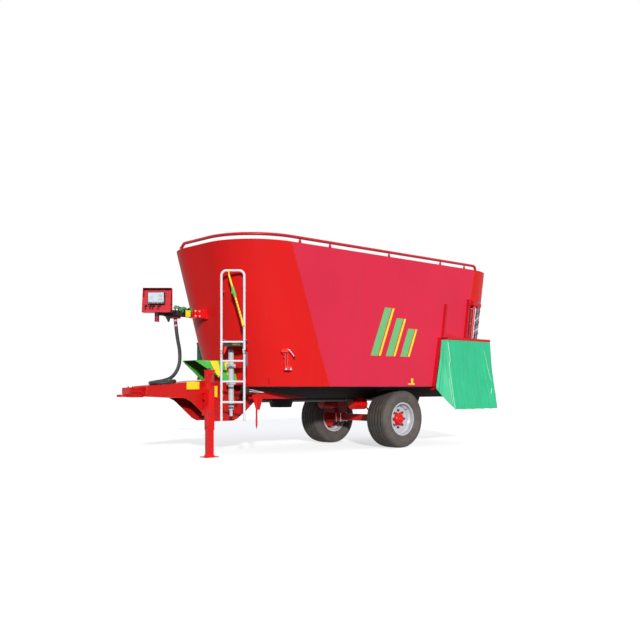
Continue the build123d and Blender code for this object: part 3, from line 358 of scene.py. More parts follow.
@dataclass(frozen=True)
class FloorShadeAndSteel(Finish):
    """Painted shade on the edge and below, a near-black colour for the shadowed band under the tub;
    fodder-polished steel on top.
    """

    name: str
    # edge: near-black painted shade for the floor's edge and underside.
    edge: Colour
    top: Colour

    def make(self) -> bpy.types.Material:
        """Build the finish."""
        s = Shader(self.name)
        top = s.node("ShaderNodeNewGeometry", out="Normal").axis("Z").over(0.5)
        patch = s.speckle(4.0, 4.0)
        steel = s.mix(patch.within(0.35, 0.7), self.top, tuple(c * 0.55 for c in self.top))
        return s.finish(Base_Color=s.mix(top, self.edge, steel), Metallic=top * 0.7,
                        Roughness=top * -0.25 + 0.68, Specular_IOR_Level=0.08,
                        Normal=s.bump(s.speckle(60.0, 1.0), 0.1, 0.002))


@dataclass(frozen=True)
class Steel(Finish):
    """Bare steel with a fine grain and a little rust."""

    name: str
    colour: Colour
    roughness: float = 0.36
    metallic: float = 0.85
    rust: float = 0.15
    grain: float = 60.0

    def make(self) -> bpy.types.Material:
        """Build the steel."""
        s = Shader(self.name)
        spangle = s.node("ShaderNodeTexVoronoi", {"Vector": s.place, "Scale": self.grain}, out="Color")
        value = s.node("ShaderNodeRGBToBW", {0: spangle})
        patch = s.speckle(7.0, 4.0)
        shade = s.mix(value * 0.35, self.colour, tuple(c * 0.72 for c in self.colour))
        shade = s.mix(patch.within(0.55, 0.8) * self.rust, shade, (0.19, 0.08, 0.035))
        return s.finish(Base_Color=shade, Metallic=self.metallic,
                        Roughness=value * 0.12 + self.roughness, Normal=s.bump(s.speckle(160.0), 0.2, 0.001))


@dataclass(frozen=True)
class Rubber(Finish):
    """Tyre or hose rubber, greyed by road dust."""

    name: str
    colour: Colour
    dust: float = 0.4
    roughness: float = 0.72

    def make(self) -> bpy.types.Material:
        """Build the rubber."""
        s = Shader(self.name)
        patch = s.speckle(9.0, 5.0)
        fine = s.speckle(210.0, 2.0)
        shade = s.mix(patch.within(0.35, 0.75) * self.dust, self.colour, (0.20, 0.165, 0.13))
        shade = s.mix(fine.within(0.5, 0.8) * 0.25, shade, tuple(c * 0.5 for c in self.colour))
        return s.finish(Base_Color=shade, Roughness=patch * 0.15 + (self.roughness - 0.07),
                        Specular_IOR_Level=0.35, Normal=s.bump(fine, 0.35, 0.0012))


@dataclass(frozen=True)
class CoatedCloth(Finish):
    """Shiny coated cloth with its weave showing faintly through the coating, and lighter vertical streaks
    painted as highlights of faint creases.
    """

    name: str
    colour: Colour

    def make(self) -> bpy.types.Material:
        """Build the cloth."""
        s = Shader(self.name)
        x, z = s.place.axis("X"), s.place.axis("Z")
        warp = s.node("ShaderNodeMath", {0: x * 900.0}, operation="SINE")
        weft = s.node("ShaderNodeMath", {0: z * 900.0}, operation="SINE")
        cloud = s.speckle(3.0)
        streak = s.speckle(14.0, 3.0, (1.0, 1.0, 0.08))
        shade = s.mix(cloud.within(0.35, 0.7) * 0.6, self.colour, tuple(c * 0.84 for c in self.colour))
        # Painted highlight: lighter green along the vertical streaks stands for light caught by faint
        # creases.
        shade = s.mix(streak.within(0.5, 0.78) * 0.3, shade, (0.10, 0.62, 0.34))
        height = (warp * weft) * 0.12 + s.speckle(26.0, 3.0)
        return s.finish(Base_Color=shade, Roughness=streak * 0.15 + 0.36, Specular_IOR_Level=0.18,
                        Normal=s.bump(height, 0.30, 0.003))


@dataclass(frozen=True)
class Moulding(Finish):
    """Moulded plastic or foil with a fine grain."""

    name: str
    colour: Colour
    roughness: float = 0.42
    coat: float = 0.0

    def make(self) -> bpy.types.Material:
        """Build the plastic."""
        s = Shader(self.name)
        grain = s.speckle(420.0, 2.0)
        shade = s.mix(s.speckle(12.0).within(0.4, 0.8) * 0.5, self.colour,
                      tuple(c * 0.8 for c in self.colour))
        return s.finish(Base_Color=shade, Roughness=grain * 0.1 + (self.roughness - 0.05),
                        Coat_Weight=self.coat, Coat_Roughness=0.1, Normal=s.bump(grain, 0.15, 0.0006))


RED = Paint("red_paint", tint(232, 22, 24))
# Painted shade: a near-black red standing in for the shadow under the tub on the red chassis, and for the
# shaded recess of the knife slots.
SHADOW_RED = Paint("shadow_red_paint", tint(60, 10, 12), roughness=0.6, coat=0.0, dust=0.6, gloss=0.1)
TUB_CONE = TubPaint("tub_cone_paint", tint(226, 35, 34))
# Painted reflection: the side walls share the end shells' red paint; their pinker tint stands in for the
# sky's reflection.
TUB_WALL_REFLECTION = TubPaint("tub_wall_painted_reflection", tint(224, 50, 77))
DRAWBAR_RED = Paint("drawbar_paint", tint(206, 22, 22))
CRIMSON = Paint("crimson_paint", tint(204, 24, 42))
# The below colours of these two paints are painted shade: the dark undersides of the box's hood and of the
# drive guard's roof.
BOX_RED = Paint("control_box_paint", tint(206, 26, 46), below=tint(26, 5, 8))
GREEN = Paint("leaf_green_paint", tint(84, 196, 78), below=tint(12, 26, 14))
HYDRAULIC = Paint("hydraulic_grey_paint", tint(112, 104, 116), roughness=0.45, dust=0.1)
DARK_GREEN = Paint("dark_green_paint", tint(8, 92, 74), roughness=0.3)
BLACK = Paint("black_paint", tint(22, 22, 23), roughness=0.6, coat=0.0, gloss=0.12)
SILVER = Paint("silver_paint", tint(196, 197, 206), roughness=0.36, coat=0.15, dust=0.45)
RUNG_SILVER = Paint("ladder_silver_paint", tint(226, 227, 233), roughness=0.34, dust=0.15)
PIPE_GREY = SplitColourFinish("pipe_grey_paint", tint(196, 200, 207), tint(190, 22, 24), -2.93)
ARM_PAINT = SplitColourFinish("arm_paint", tint(24, 24, 25), tint(230, 24, 28), -3.278, (1.955, tint(150, 18, 40)))
# Painted shadow: the left rail is red; its dark rear part above the slanted border stands in for the tub's
# cast shadow.
RAIL_SHADOW_PAINT = SplitColourFinish("rail_painted_shadow", tint(222, 24, 26), tint(28, 7, 8), -1.98, slope=7.0)
WORN = Steel("worn_steel", (0.50, 0.48, 0.45), 0.33, 0.9, 0.4, 25.0)
BRIGHT = Steel("bright_steel", (0.74, 0.75, 0.77), 0.18, 1.0, 0.0)
BOLT = Steel("bolt_steel", (0.42, 0.42, 0.43), 0.38, 0.9, 0.3)
DARK_STEEL = Steel("dark_steel", (0.10, 0.10, 0.10), 0.5, 0.5, 0.3)
TYRE = Rubber("tyre_rubber", tint(84, 79, 77))
GROOVE = Rubber("tyre_groove_rubber", tint(26, 24, 24), 0.1)
HOSE = Rubber("hose_rubber", tint(46, 46, 50), 0.15, 0.55)
SEAL = Rubber("seal_rubber", tint(20, 20, 21), 0.15, 0.6)
CLOTH = CoatedCloth("green_cloth", tint(50, 192, 138))
# Painted highlight: a pale green-white for the tubes laid along the curtain's sharp folds.
CREASE_HIGHLIGHT = Moulding("cloth_crease_highlight", tint(206, 242, 226), 0.25, 0.4)
YELLOW = Moulding("yellow_foil", tint(252, 226, 34), 0.4, 0.1)
LIME = Moulding("green_foil", tint(104, 190, 116), 0.4, 0.1)
DARK_PLASTIC = Moulding("dark_plastic", tint(24, 25, 28), 0.55)
GREEN_PLASTIC = Moulding("green_plastic", tint(64, 150, 84), 0.4)
SCREEN = Moulding("screen_glass", tint(205, 214, 228), 0.2, 0.4)
SCREEN_BAR = Moulding("screen_bar", tint(160, 190, 176), 0.3)
PALE_PLASTIC = Moulding("pale_plastic", tint(226, 226, 222))
LENS_RED = Moulding("red_lens", tint(190, 12, 18), 0.15, 1.0)
LENS_AMBER = Moulding("amber_lens", tint(240, 130, 20), 0.15, 1.0)
PINK = Moulding("marker_band", tint(236, 150, 170), 0.5)
# Painted shade: the floor's near-black edge and underside stand in for the shadow under the tub.
TUB_FLOOR_SHADE = FloorShadeAndSteel("tub_floor_shade_paint", tint(20, 17, 18), (0.34, 0.31, 0.28))
RED_WELD = Paint("red_weld_paint", tint(214, 24, 36), roughness=0.36)

# Meshes


class Form:
    """A mesh under construction, in the frame's metres."""

    def __init__(self) -> None:
        """Start with no faces."""
        self.mesh = bmesh.new()

    def _take(self, part: bmesh.types.BMesh, soften: float = 0.0) -> "Form":
        """Round a part's edges, then move its faces into this form."""
        if soften:
            edges = [e for e in part.edges if len(e.link_faces) == 2 and e.calc_face_angle(0.0) > 0.6]
            bmesh.ops.bevel(part, geom=edges, offset=soften, segments=2, affect="EDGES", clamp_overlap=True)
        bmesh.ops.recalc_face_normals(part, faces=part.faces)
        carrier = bpy.data.meshes.new("carrier")
        part.to_mesh(carrier)
        part.free()
        self.mesh.from_mesh(carrier)
        bpy.data.meshes.remove(carrier)
        return self

    def block(self, centre: Vector, size: Sequence[float], turn: Matrix | None = None,
              soften: float = 0.0) -> "Form":
        """Add a block.

        Args:
            centre: its middle.
            size: its lengths along its own axes.
            turn: its rotation.
            soften: width of the rounded edges.

        Returns:
            This form.
        """
        part = bmesh.new()
        bmesh.ops.create_cube(part, size=1.0)
        part.transform(Matrix.Translation(centre) @ (turn or Matrix.Identity(3)).to_4x4()
                       @ Matrix.Diagonal((*size, 1.0)))
        return self._take(part, soften)

    def prism(self, outline: Sequence[Vector], depth: Vector, soften: float = 0.0) -> "Form":
        """Add a plate.

        Args:
            outline: corners of one face, in order.
            depth: how far and which way the plate is thick.
            soften: width of the rounded edges.

        Returns:
            This form.
        """
        part = bmesh.new()
        low = [part.verts.new(p) for p in outline]
        high = [part.verts.new(p + depth) for p in outline]
        part.faces.new(low)
        part.faces.new(high[::-1])
        for k in range(len(low)):
            part.faces.new((low[k - 1], low[k], high[k], high[k - 1]))
        return self._take(part, soften)

    def lathe(self, profile: Sequence[tuple[float, float]], centre: Vector, axis: Vector, steps: int = 32,
              closed: bool = False, sway: Callable[[float, float, float], float] | None = None) -> "Form":
        """Add a turned solid.

        Args:
            profile: pairs of radius and distance along the axis.
            centre: where that distance is zero.
            axis: direction of the axis.
            steps: points round a turn.
            closed: whether the profile's last point joins its first one.
            sway: change of the distance by angle, radius and distance.

        Returns:
            This form.
        """
        part = bmesh.new()
        turn = axis.normalized().to_track_quat("Z", "Y").to_matrix()
        rings = []
        for radius, along in profile:
            ring = []
            for k in range(steps):
                a = 2 * math.pi * k / steps
                height = along + (sway(a, radius, along) if sway else 0.0)
                around = Vector((radius * math.cos(a), radius * math.sin(a), height))
                ring.append(part.verts.new(centre + turn @ around))
            rings.append(ring)
        pairs = list(zip(rings, rings[1:])) + ([(rings[-1], rings[0])] if closed else [])
        for first, second in pairs:
            for k in range(steps):
                part.faces.new((first[k - 1], first[k], second[k], second[k - 1]))
        bmesh.ops.remove_doubles(part, verts=part.verts, dist=1e-6)
        return self._take(part)

    def tube(self, points: Sequence[Vector], radius: float, sides: int = 16, loop: bool = False) -> "Form":
        """Add a round bar along points.

        Args:
            points: the centre line.
            radius: the bar's radius.
            sides: points round it.
            loop: whether the line closes.

        Returns:
            This form.
        """
        part = bmesh.new()
        count = len(points)
        rings, across = [], None
        for k, here in enumerate(points):
            before = points[k - 1] if loop or k else here
            after = points[(k + 1) % count] if loop or k < count - 1 else here
            along = (after - before).normalized()
            if across is None:
                across = along.orthogonal().normalized()
            across = (across - along * across.dot(along)).normalized()
            up = along.cross(across)
            rings.append([part.verts.new(here + radius * (across * math.cos(a) + up * math.sin(a)))
                          for a in (2 * math.pi * j / sides for j in range(sides))])
        for first, second in zip(rings, rings[1:] + (rings[:1] if loop else [])):
            for j in range(sides):
                part.faces.new((first[j - 1], first[j], second[j], second[j - 1]))
        if not loop:
            part.faces.new(rings[0])
            part.faces.new(rings[-1][::-1])
        return self._take(part)

    def piece(self, name: str, finish: Finish, body: Body = Body.FRAME,
              angle: float = 32.0) -> bpy.types.Object:
        """Turn the form into a piece of the scene.

        Args:
            name: the piece's name.
            finish: its finish.
            body: the body it rides on.
            angle: edges sharper than this many degrees stay sharp.

        Returns:
            The object.
        """
        mesh = bpy.data.meshes.new(name)
        self.mesh.to_mesh(mesh)
        self.mesh.free()
        return place(name, mesh, finish, body, angle)


def place(name: str, mesh: bpy.types.Mesh, finish: Finish, body: Body,
          angle: float = 32.0) -> bpy.types.Object:
    """Link a mesh as a dressed piece that rides on a body.

    Args:
        name: the piece's name.
        mesh: its mesh, in the frame's metres.
        finish: its finish.
        body: the body it rides on.
        angle: edges sharper than this many degrees stay sharp.

    Returns:
        The object.
    """
    mesh.shade_smooth()
    mesh.set_sharp_from_angle(angle=math.radians(angle))
    mesh.materials.clear()
    mesh.materials.append(finish.material())
    piece = bpy.data.objects.new(name, mesh)
    bpy.context.scene.collection.objects.link(piece)
    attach(piece, body.value)
    log.info("piece %s on %s: %d faces", name, body.value, len(mesh.polygons))
    return piece


def repaint(finish: Finish, *names: str) -> None:
    """Give nodes of the frame a finish."""
    for name in names:
        slots = frame["nodes"][name].data.materials
        slots.clear()
        slots.append(finish.material())
        log.info("node %s: %s", name, finish.name)


class Placed:
    """Sub-assembly that reads places along its own axes."""

    def at(self, x: float, y: float, z: float) -> Vector:
        """Frame point of a place along the group's own axes."""
        raise NotImplementedError

    def line(self, *places: Sequence[float]) -> list[Vector]:
        """Frame points of several places along the group's own axes."""
        return [self.at(*place) for place in places]


# Repeats


class Repeat(Book):
    """A geometry tree that sets one form on every point of a mesh, turned to the point's aim."""

    def __init__(self, name: str, sizes: dict[str, float]) -> None:
        """Make the tree with named inputs for its sizes.

        Args:
            name: the tree's name.
            sizes: default of each named size.
        """
        super().__init__(bpy.data.node_groups.new(name, "GeometryNodeTree"))
        face = self.tree.interface
        face.new_socket("Geometry", in_out="INPUT", socket_type="NodeSocketGeometry")
        self.keys = {}
        for key, value in sizes.items():
            socket = face.new_socket(key, in_out="INPUT", socket_type="NodeSocketFloat")
            socket.default_value = value
            self.keys[key] = socket.identifier
        socket = face.new_socket("Finish", in_out="INPUT", socket_type="NodeSocketMaterial")
        self.keys["Finish"] = socket.identifier
        face.new_socket("Geometry", in_out="OUTPUT", socket_type="NodeSocketGeometry")
        self.start = self.tree.nodes.new("NodeGroupInput")

    def size(self, key: str) -> Wire:
        """Wire of a named input."""
        return Wire(self, self.start.outputs[key])

    def close(self, form: Wire) -> None:
        """Set the form on the points, make it real and give it its finish.

        Args:
            form: geometry of one copy, standing along Z.
        """
        aim = self.node("GeometryNodeInputNamedAttribute", {"Name": "aim"}, data_type="FLOAT_VECTOR")
        turn = self.node("FunctionNodeAlignRotationToVector", {"Vector": aim}, axis="Z")
        copies = self.node("GeometryNodeInstanceOnPoints",
                           {"Points": self.size("Geometry"), "Instance": form, "Rotation": turn})
        real = self.node("GeometryNodeRealizeInstances", {0: copies})
        done = self.node("GeometryNodeSetMaterial", {"Geometry": real, "Material": self.size("Finish")})
        end = self.tree.nodes.new("NodeGroupOutput")
        self.tree.links.new(done.socket, end.inputs[0])

    def piece(self, name: str, spots: Sequence[tuple[Vector, Vector]], finish: Finish,
              body: Body = Body.FRAME, **sizes: float) -> bpy.types.Object:
        """Run the tree on points and keep the result as a plain mesh.

        Args:
            name: the piece's name.
            spots: pairs of a point and the direction the copy stands in.
            finish: its finish.
            body: the body it rides on.
            sizes: values of the named sizes, with underscores for spaces.

        Returns:
            The object.
        """
        mesh = bpy.data.meshes.new(name + "_points")
        mesh.from_pydata([p for p, _ in spots], [], [])
        aim = mesh.attributes.new("aim", "FLOAT_VECTOR", "POINT")
        aim.data.foreach_set("vector", [c for _, d in spots for c in d.normalized()])
        carrier = bpy.data.objects.new(name + "_points", mesh)
        bpy.context.scene.collection.objects.link(carrier)
        modifier = carrier.modifiers.new("repeat", "NODES")
        modifier.node_group = self.tree
        for key, value in sizes.items():
            modifier[self.keys[key.replace("_", " ")]] = value
        modifier[self.keys["Finish"]] = finish.material()
        graph = bpy.context.evaluated_depsgraph_get()
        result = bpy.data.meshes.new_from_object(carrier.evaluated_get(graph))
        carrier.modifiers.remove(modifier)
        bpy.data.objects.remove(carrier)
        return place(name, result, finish, body)


class BoltRepeat(Repeat):
    """Hexagon bolt heads on washers."""

    def __init__(self) -> None:
        """Build the tree: washer, hexagon head and the end of the thread."""
        super().__init__("bolt_repeat", {"Across": 0.018, "Height": 0.010})
        across, height = self.size("Across"), self.size("Height")
        parts = []
        for sides, wide, tall, up in ((20, 0.62, 0.22, 0.11), (6, 0.5, 0.9, 0.6), (12, 0.27, 0.3, 1.15)):
            solid = self.node("GeometryNodeMeshCylinder",
                              {"Vertices": sides, "Radius": across * wide, "Depth": height * tall})
            lift = self.node("ShaderNodeCombineXYZ", {"Z": height * up})
            parts.append(self.node("GeometryNodeTransform", {"Geometry": solid, "Translation": lift}))
        join = self.tree.nodes.new("GeometryNodeJoinGeometry")
        for part in parts:
            self.tree.links.new(part.socket, join.inputs[0])
        self.close(Wire(self, join.outputs[0]))


class LugRepeat(Repeat):
    """Small raised blocks, such as tread lugs, rung grips or weld ripples."""

    def __init__(self) -> None:
        """Build the tree: one block, standing along Z."""
        super().__init__("lug_repeat", {"Length": 0.02, "Width": 0.01, "Height": 0.004})
        size = self.node("ShaderNodeCombineXYZ",
                         {"X": self.size("Length"), "Y": self.size("Width"), "Z": self.size("Height")})
        self.close(self.node("GeometryNodeMeshCube", {"Size": size}))


class BeadRepeat(Repeat):
    """Overlapping flat drops of a weld seam."""

    def __init__(self) -> None:
        """Build the tree: one flattened ball."""
        super().__init__("bead_repeat", {"Radius": 0.006, "Height": 0.5})
        ball = self.node("GeometryNodeMeshIcoSphere", {"Radius": self.size("Radius"), "Subdivisions": 2})
        flat = self.node("ShaderNodeCombineXYZ", {"X": 1.0, "Y": 1.0, "Z": self.size("Height")})
        self.close(self.node("GeometryNodeTransform", {"Geometry": ball, "Scale": flat}))

# Studio


@dataclass
class Studio:
    """Camera, lamps, world and floor."""

    eye: Vector = field(default_factory=lambda: spot(-9520, -9630, 983))
    heading: float = -41.84
    lens: float = 45.0
    shift: float = 0.104
    sun_from: Vector = field(default_factory=lambda: Vector((-0.55, -0.79, 0.27)))
    fill_from: Vector = field(default_factory=lambda: Vector((0.5, -0.8, 0.6)))
    key: float = 3.1
    fill: float = 0.4
    air: float = 0.36
    floor_half: float = 60.0
    floor_glow: float = 0.62

    def camera(self) -> None:
        """Stand the camera where the photograph was taken from."""
        data = bpy.data.cameras.new("camera")
        data.lens, data.sensor_width, data.shift_y = self.lens, 36.0, self.shift
        data.clip_end = 200.0
        camera = bpy.data.objects.new("camera", data)
        camera.location = self.eye
        camera.rotation_euler = (math.pi / 2, 0.0, math.radians(self.heading))
        bpy.context.scene.collection.objects.link(camera)
        bpy.context.scene.camera = camera

    def lamps(self) -> None:
        """Hang one soft key lamp and a weak fill."""
        for name, way, power, spread, shade in (
                ("key", self.sun_from, self.key, 2.5, (1.0, 0.98, 0.95)),
                ("fill", self.fill_from, self.fill, 60.0, (0.92, 0.95, 1.0))):
            data = bpy.data.lights.new(name, "SUN")
            data.energy, data.angle, data.color = power, math.radians(spread), shade
            lamp = bpy.data.objects.new(name, data)
            lamp.rotation_euler = way.to_track_quat("Z", "Y").to_euler()
            bpy.context.scene.collection.objects.link(lamp)

    def background(self) -> None:
        """Fill the world with soft light, and with white where the camera or a gloss looks."""
        world = bpy.data.worlds.new("studio")
        bpy.context.scene.world = world
        world.use_nodes = True
        world.node_tree.nodes.clear()
        book = Book(world.node_tree)
        soft = book.node("ShaderNodeBackground", {0: (0.86, 0.92, 1.0, 1.0), 1: self.air})
        white = book.node("ShaderNodeBackground", {0: (1.0, 1.0, 1.0, 1.0), 1: 1.0})
        end = book.node("ShaderNodeMixShader", {0: self.seen(book), 1: soft, 2: white})
        out = world.node_tree.nodes.new("ShaderNodeOutputWorld")
        world.node_tree.links.new(end.socket, out.inputs[0])

    def seen(self, book: Book) -> Wire:
        """One for rays from the camera, a gloss or glass."""
        total = book.node("ShaderNodeLightPath", out="Is Camera Ray")
        for name in ("Is Glossy Ray", "Is Transmission Ray"):
            total = book.node("ShaderNodeMath", {0: total, 1: book.node("ShaderNodeLightPath", out=name)},
                              operation="MAXIMUM")
        return total

    def floor(self) -> None:
        """Lay the pale floor."""
        form = bmesh.new()
        bmesh.ops.create_grid(form, x_segments=1, y_segments=1, size=self.floor_half)
        mesh = bpy.data.meshes.new("floor")
        form.to_mesh(mesh)
        form.free()
        material = bpy.data.materials.new("pale_floor")
        material.use_nodes = True
        material.node_tree.nodes.clear()
        book = Book(material.node_tree)
        pale = book.node("ShaderNodeBsdfDiffuse", {"Color": (0.8, 0.8, 0.8, 1.0)})
        glow = book.node("ShaderNodeEmission", {"Color": (1.0, 1.0, 1.0, 1.0), "Strength": self.floor_glow})
        shown = book.node("ShaderNodeAddShader", {0: pale, 1: glow})
        dull = book.node("ShaderNodeBsdfDiffuse", {"Color": (0.10, 0.09, 0.085, 1.0)})
        end = book.node("ShaderNodeMixShader", {0: self.seen(book), 1: dull, 2: shown})
        out = material.node_tree.nodes.new("ShaderNodeOutputMaterial")
        material.node_tree.links.new(end.socket, out.inputs[0])
        mesh.materials.append(material)
        floor = bpy.data.objects.new("floor", mesh)
        floor.location = (0.0, 0.0, -0.001)
        bpy.context.scene.collection.objects.link(floor)

    def build(self) -> None:
        """Set the whole studio up."""
        bpy.context.scene.view_settings.view_transform = "Standard"
        self.camera()
        self.lamps()
        self.background()
        self.floor()


# Hoses


@dataclass
class HoseLine:
    """Hose bundle that hangs from the arm and lies in loose turns on the drawbar."""

    diameter: float = 0.050
    fall: tuple = ((-3525, 120, 1940), (-3502, 122, 1710), (-3446, 120, 1480), (-3462, 110, 1270),
                   (-3560, 130, 1112), (-3700, 142, 1064), (-3830, 146, 1046))
    coil_x: float = -3815.0
    coil_y: float = -35.0
    turns: float = 1.5
    large: float = 180.0
    small: float = 132.0
    steps: int = 14
    start: float = 96.0
    lying: float = 27.0
    length: float = 2.58

    def deck(self, x: float) -> float:
        """Height of the drawbar's sloping top at a place along it."""
        return 990 + (x + 4130) * 78 / 868

    def route(self) -> list[Vector]:
        """Points of the line from the arm to the end of its last turn."""
        points = [spot(*p) for p in self.fall]
        for k in range(1, int(self.turns * self.steps) + 1):
            share = k / (self.turns * self.steps)
            angle = math.radians(self.start + 360 * k / self.steps)
            radius = self.large + (self.small - self.large) * share
            x = self.coil_x + radius * math.cos(angle)
            points.append(spot(x, self.coil_y + radius * math.sin(angle), self.deck(x) + self.lying))
        return points

    def build(self) -> None:
        """Make the bundle, its end coupling and its bands."""
        points = self.route()
        curve = bpy.data.curves.new("hose_line", "CURVE")
        curve.dimensions = "3D"
        curve.bevel_depth, curve.bevel_resolution, curve.resolution_u = self.diameter / 2, 6, 8
        curve.use_fill_caps = True
        line = curve.splines.new("NURBS")
        line.points.add(len(points) - 1)
        for target, point in zip(line.points, points):
            target.co = (*point, 1.0)
        line.order_u = 3
        line.use_endpoint_u = True
        curve.materials.append(HOSE.material())
        hose = bpy.data.objects.new("hose_line", curve)
        bpy.context.scene.collection.objects.link(hose)
        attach(hose, Body.FRAME.value)
        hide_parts("hose_bundle", "hose_coil")
        tip = (points[-1] - points[-2]).normalized()
        coupling = Form().lathe([(0.0, -0.012), (0.027, -0.012), (0.030, -0.004), (0.030, 0.014),
                                 (0.022, 0.018), (0.022, 0.036), (0.026, 0.038), (0.026, 0.058),
                                 (0.018, 0.064), (0.0, 0.064)], points[-1], tip,
                                24).piece("hose_coupling", BOLT)
        bands = Form()
        for share in (0.12, 0.42):
            bands.lathe([(0.0262, -0.012), (0.0272, -0.010), (0.0272, 0.010), (0.0262, 0.012)],
                        points[0].lerp(points[1], share), points[1] - points[0], 28, closed=True)
        band = bands.piece("hose_bands", PINK)
        log.info("hose line of %.2f m", self.length)


# Wheels


@dataclass
class Wheel:
    """One wheel: tyre with ribbed tread, rim, nuts and hub cap."""

    side: Side
    radius: float = 0.465
    width: float = 0.435
    track: float = 1.61
    grooves: int = 11
    tread_half: float = 0.166
    wide_groove: tuple = (0.0085, 0.010)
    fine_groove: tuple = (0.0026, 0.006)
    nuts: int = 8
    nut_circle: float = 0.137
    disc: float = 0.8725
    round_steps: int = 180
    lugs: int = 84

    def __post_init__(self) -> None:
        """Work out the wheel's middle, its axis and its body."""
        sign = self.side.value
        self.axis = Vector((0.0, sign, 0.0))
        self.hub = spot(0, 0, self.radius * 1000)
        self.middle = self.hub + self.axis * (self.track / 2)
        self.body = Body.WHEEL_LEFT if self.side is Side.LEFT else Body.WHEEL_RIGHT
        self.word = self.side.name.lower()

    def tread(self) -> list[tuple[float, float]]:
        """Points of the ribbed crown, from one shoulder to the other."""
        points = []
        for y, wide, deep in self.groove_places():
            crown = self.crown(y)
            points += [(crown, y - wide), (crown - deep, y - wide * 0.8), (crown - deep, y + wide * 0.8),
                       (crown, y + wide)]
        return points

    def crown(self, y: float) -> float:
        """Radius of the tread at a place across it."""
        return self.radius - 0.012 * (y / self.tread_half) ** 4

    def groove_places(self) -> list[tuple[float, float, float]]:
        """Place, half width and depth of each groove; wide and narrow ones take turns."""
        step = 2 * self.tread_half / self.grooves
        return [(-self.tread_half + step * (k + 0.5), *(self.wide_groove if k % 2 else self.fine_groove))
                for k in range(self.grooves)]

    def tyre(self) -> None:
        """Turn the tyre, with its bulged and stepped walls."""
        wall = [(0.247, 0.167), (0.262, 0.172), (0.272, 0.183), (0.284, 0.196), (0.300, 0.2035),
                (0.303, 0.2085), (0.309, 0.2085), (0.312, 0.2065), (0.335, 0.2130), (0.352, 0.2160),
                (0.354, 0.2175), (0.360, 0.2175), (0.362, 0.2155), (0.384, 0.2130), (0.404, 0.2080),
                (0.420, 0.2010), (0.424, 0.2015), (0.430, 0.1985), (0.441, 0.1900), (0.450, 0.1790),
                (0.4545, 0.1705)]
        profile = [(r, -y) for r, y in wall] + self.tread() + [(r, y) for r, y in reversed(wall)]

        def sway(angle: float, radius: float, along: float) -> float:
            """Zigzag of the grooves."""
            return 0.0026 * math.sin(angle * 60) if abs(along) < 0.162 and radius > 0.43 else 0.0

        form = Form().lathe(profile, self.middle, self.axis, self.round_steps, closed=True, sway=sway)
        tyre = form.piece(f"tyre_{self.word}", TYRE, self.body, 28)
        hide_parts(f"wheel_tyre_{self.word}")
        bed = Form()
        for y, wide, deep in self.groove_places():
            high, low = self.crown(y), self.crown(y) - deep
            skin = [(high - 0.0005, wide - 0.0002), (low + 0.0006, 0.8 * wide - 0.0006)]
            back = [(low - 0.001, 0.8 * wide + 0.0006), (high - 0.0014, wide + 0.0006)]
            profile = [(r, y - half) for r, half in skin] + [(r, y + half) for r, half in reversed(skin)]
            profile += [(r, y + half) for r, half in reversed(back)] + [(r, y - half) for r, half in back]
            bed.lathe(profile, self.middle, self.axis, self.round_steps, closed=True, sway=sway)
        bed.piece(f"tyre_grooves_{self.word}", GROOVE, self.body)
        spots = []
        for k in range(self.lugs):
            out = ray(2 * math.pi * (k + 0.5) / self.lugs, 0, 2)
            for edge in (-1, 1):
                lean = (out * 0.72 + self.axis * edge * 0.55).normalized()
                spots.append((self.middle + out * 0.4405 + self.axis * edge * 0.1885, lean))
        LUGS.piece(f"tyre_shoulder_{self.word}", spots, TYRE, self.body, Length=0.012, Width=0.020,
                   Height=0.006)

    def fittings(self) -> None:
        """Add the nuts, the hub cap with its screws and ribs, the rim's beads and the valve."""
        spots, caps = [], []
        for k in range(self.nuts):
            a = 2 * math.pi * k / self.nuts
            spots.append((self.hub + ray(a, 0, 2) * self.nut_circle + self.axis * self.disc, self.axis))
            out = ray(a + math.pi / self.nuts, 0, 2)
            caps.append((self.hub + out * 0.077 + self.axis * (self.disc + 0.0435), self.axis))
        BOLTS.piece(f"wheel_nuts_{self.word}", spots, DARK_STEEL, self.body, Across=0.036, Height=0.023)
        BOLTS.piece(f"hub_screws_{self.word}", caps, BOLT, self.body, Across=0.016, Height=0.008)
        cap = Form().lathe([(0.0, 0.088), (0.020, 0.087), (0.030, 0.083), (0.040, 0.078), (0.046, 0.070),
                            (0.048, 0.060), (0.056, 0.0605), (0.058, 0.055), (0.058, 0.0445), (0.0, 0.0445)],
                           self.hub + self.axis * self.disc, self.axis, 32)
        for k in range(6):
            a = 2 * math.pi * k / 6
            cap.block(self.hub + ray(a, 0, 2) * 0.104 + self.axis * (self.disc + 0.014),
                      (0.022, 0.026, 0.040), Matrix.Rotation(-a, 3, "Y"), 0.002)
        cap.piece(f"hub_cap_{self.word}", RED, self.body)
        ring = Form().lathe([(0.2085, -0.004), (0.2085, 0.004), (0.2045, 0.0015), (0.2045, -0.0015)],
                            self.hub + self.axis * (self.disc + 0.003), self.axis, 64, closed=True)
        ring.lathe([(0.262, -0.003), (0.2695, -0.002), (0.2695, 0.0012), (0.264, 0.003), (0.258, 0.003)],
                   self.middle + self.axis * 0.1752, self.axis, 96, closed=True)
        ring.piece(f"rim_bead_{self.word}", SILVER, self.body)
        root = self.hub + Vector((0.150, 0.0, 0.148)) + self.axis * (self.disc + 0.001)
        stem = [root + self.axis * along + Vector((side, 0, side))
                for along, side in ((0.0, 0.0), (0.03, 0.0), (0.046, 0.006), (0.064, 0.010))]
        Form().tube(stem, 0.0045, 12).piece(f"valve_{self.word}", DARK_STEEL, self.body)

    def build(self) -> None:
        """Make and dress the wheel."""
        repaint(SILVER, f"wheel_rim_{self.word}")
        repaint(RED, f"wheel_hub_{self.word}")
        self.tyre()
        self.fittings()


# Tub


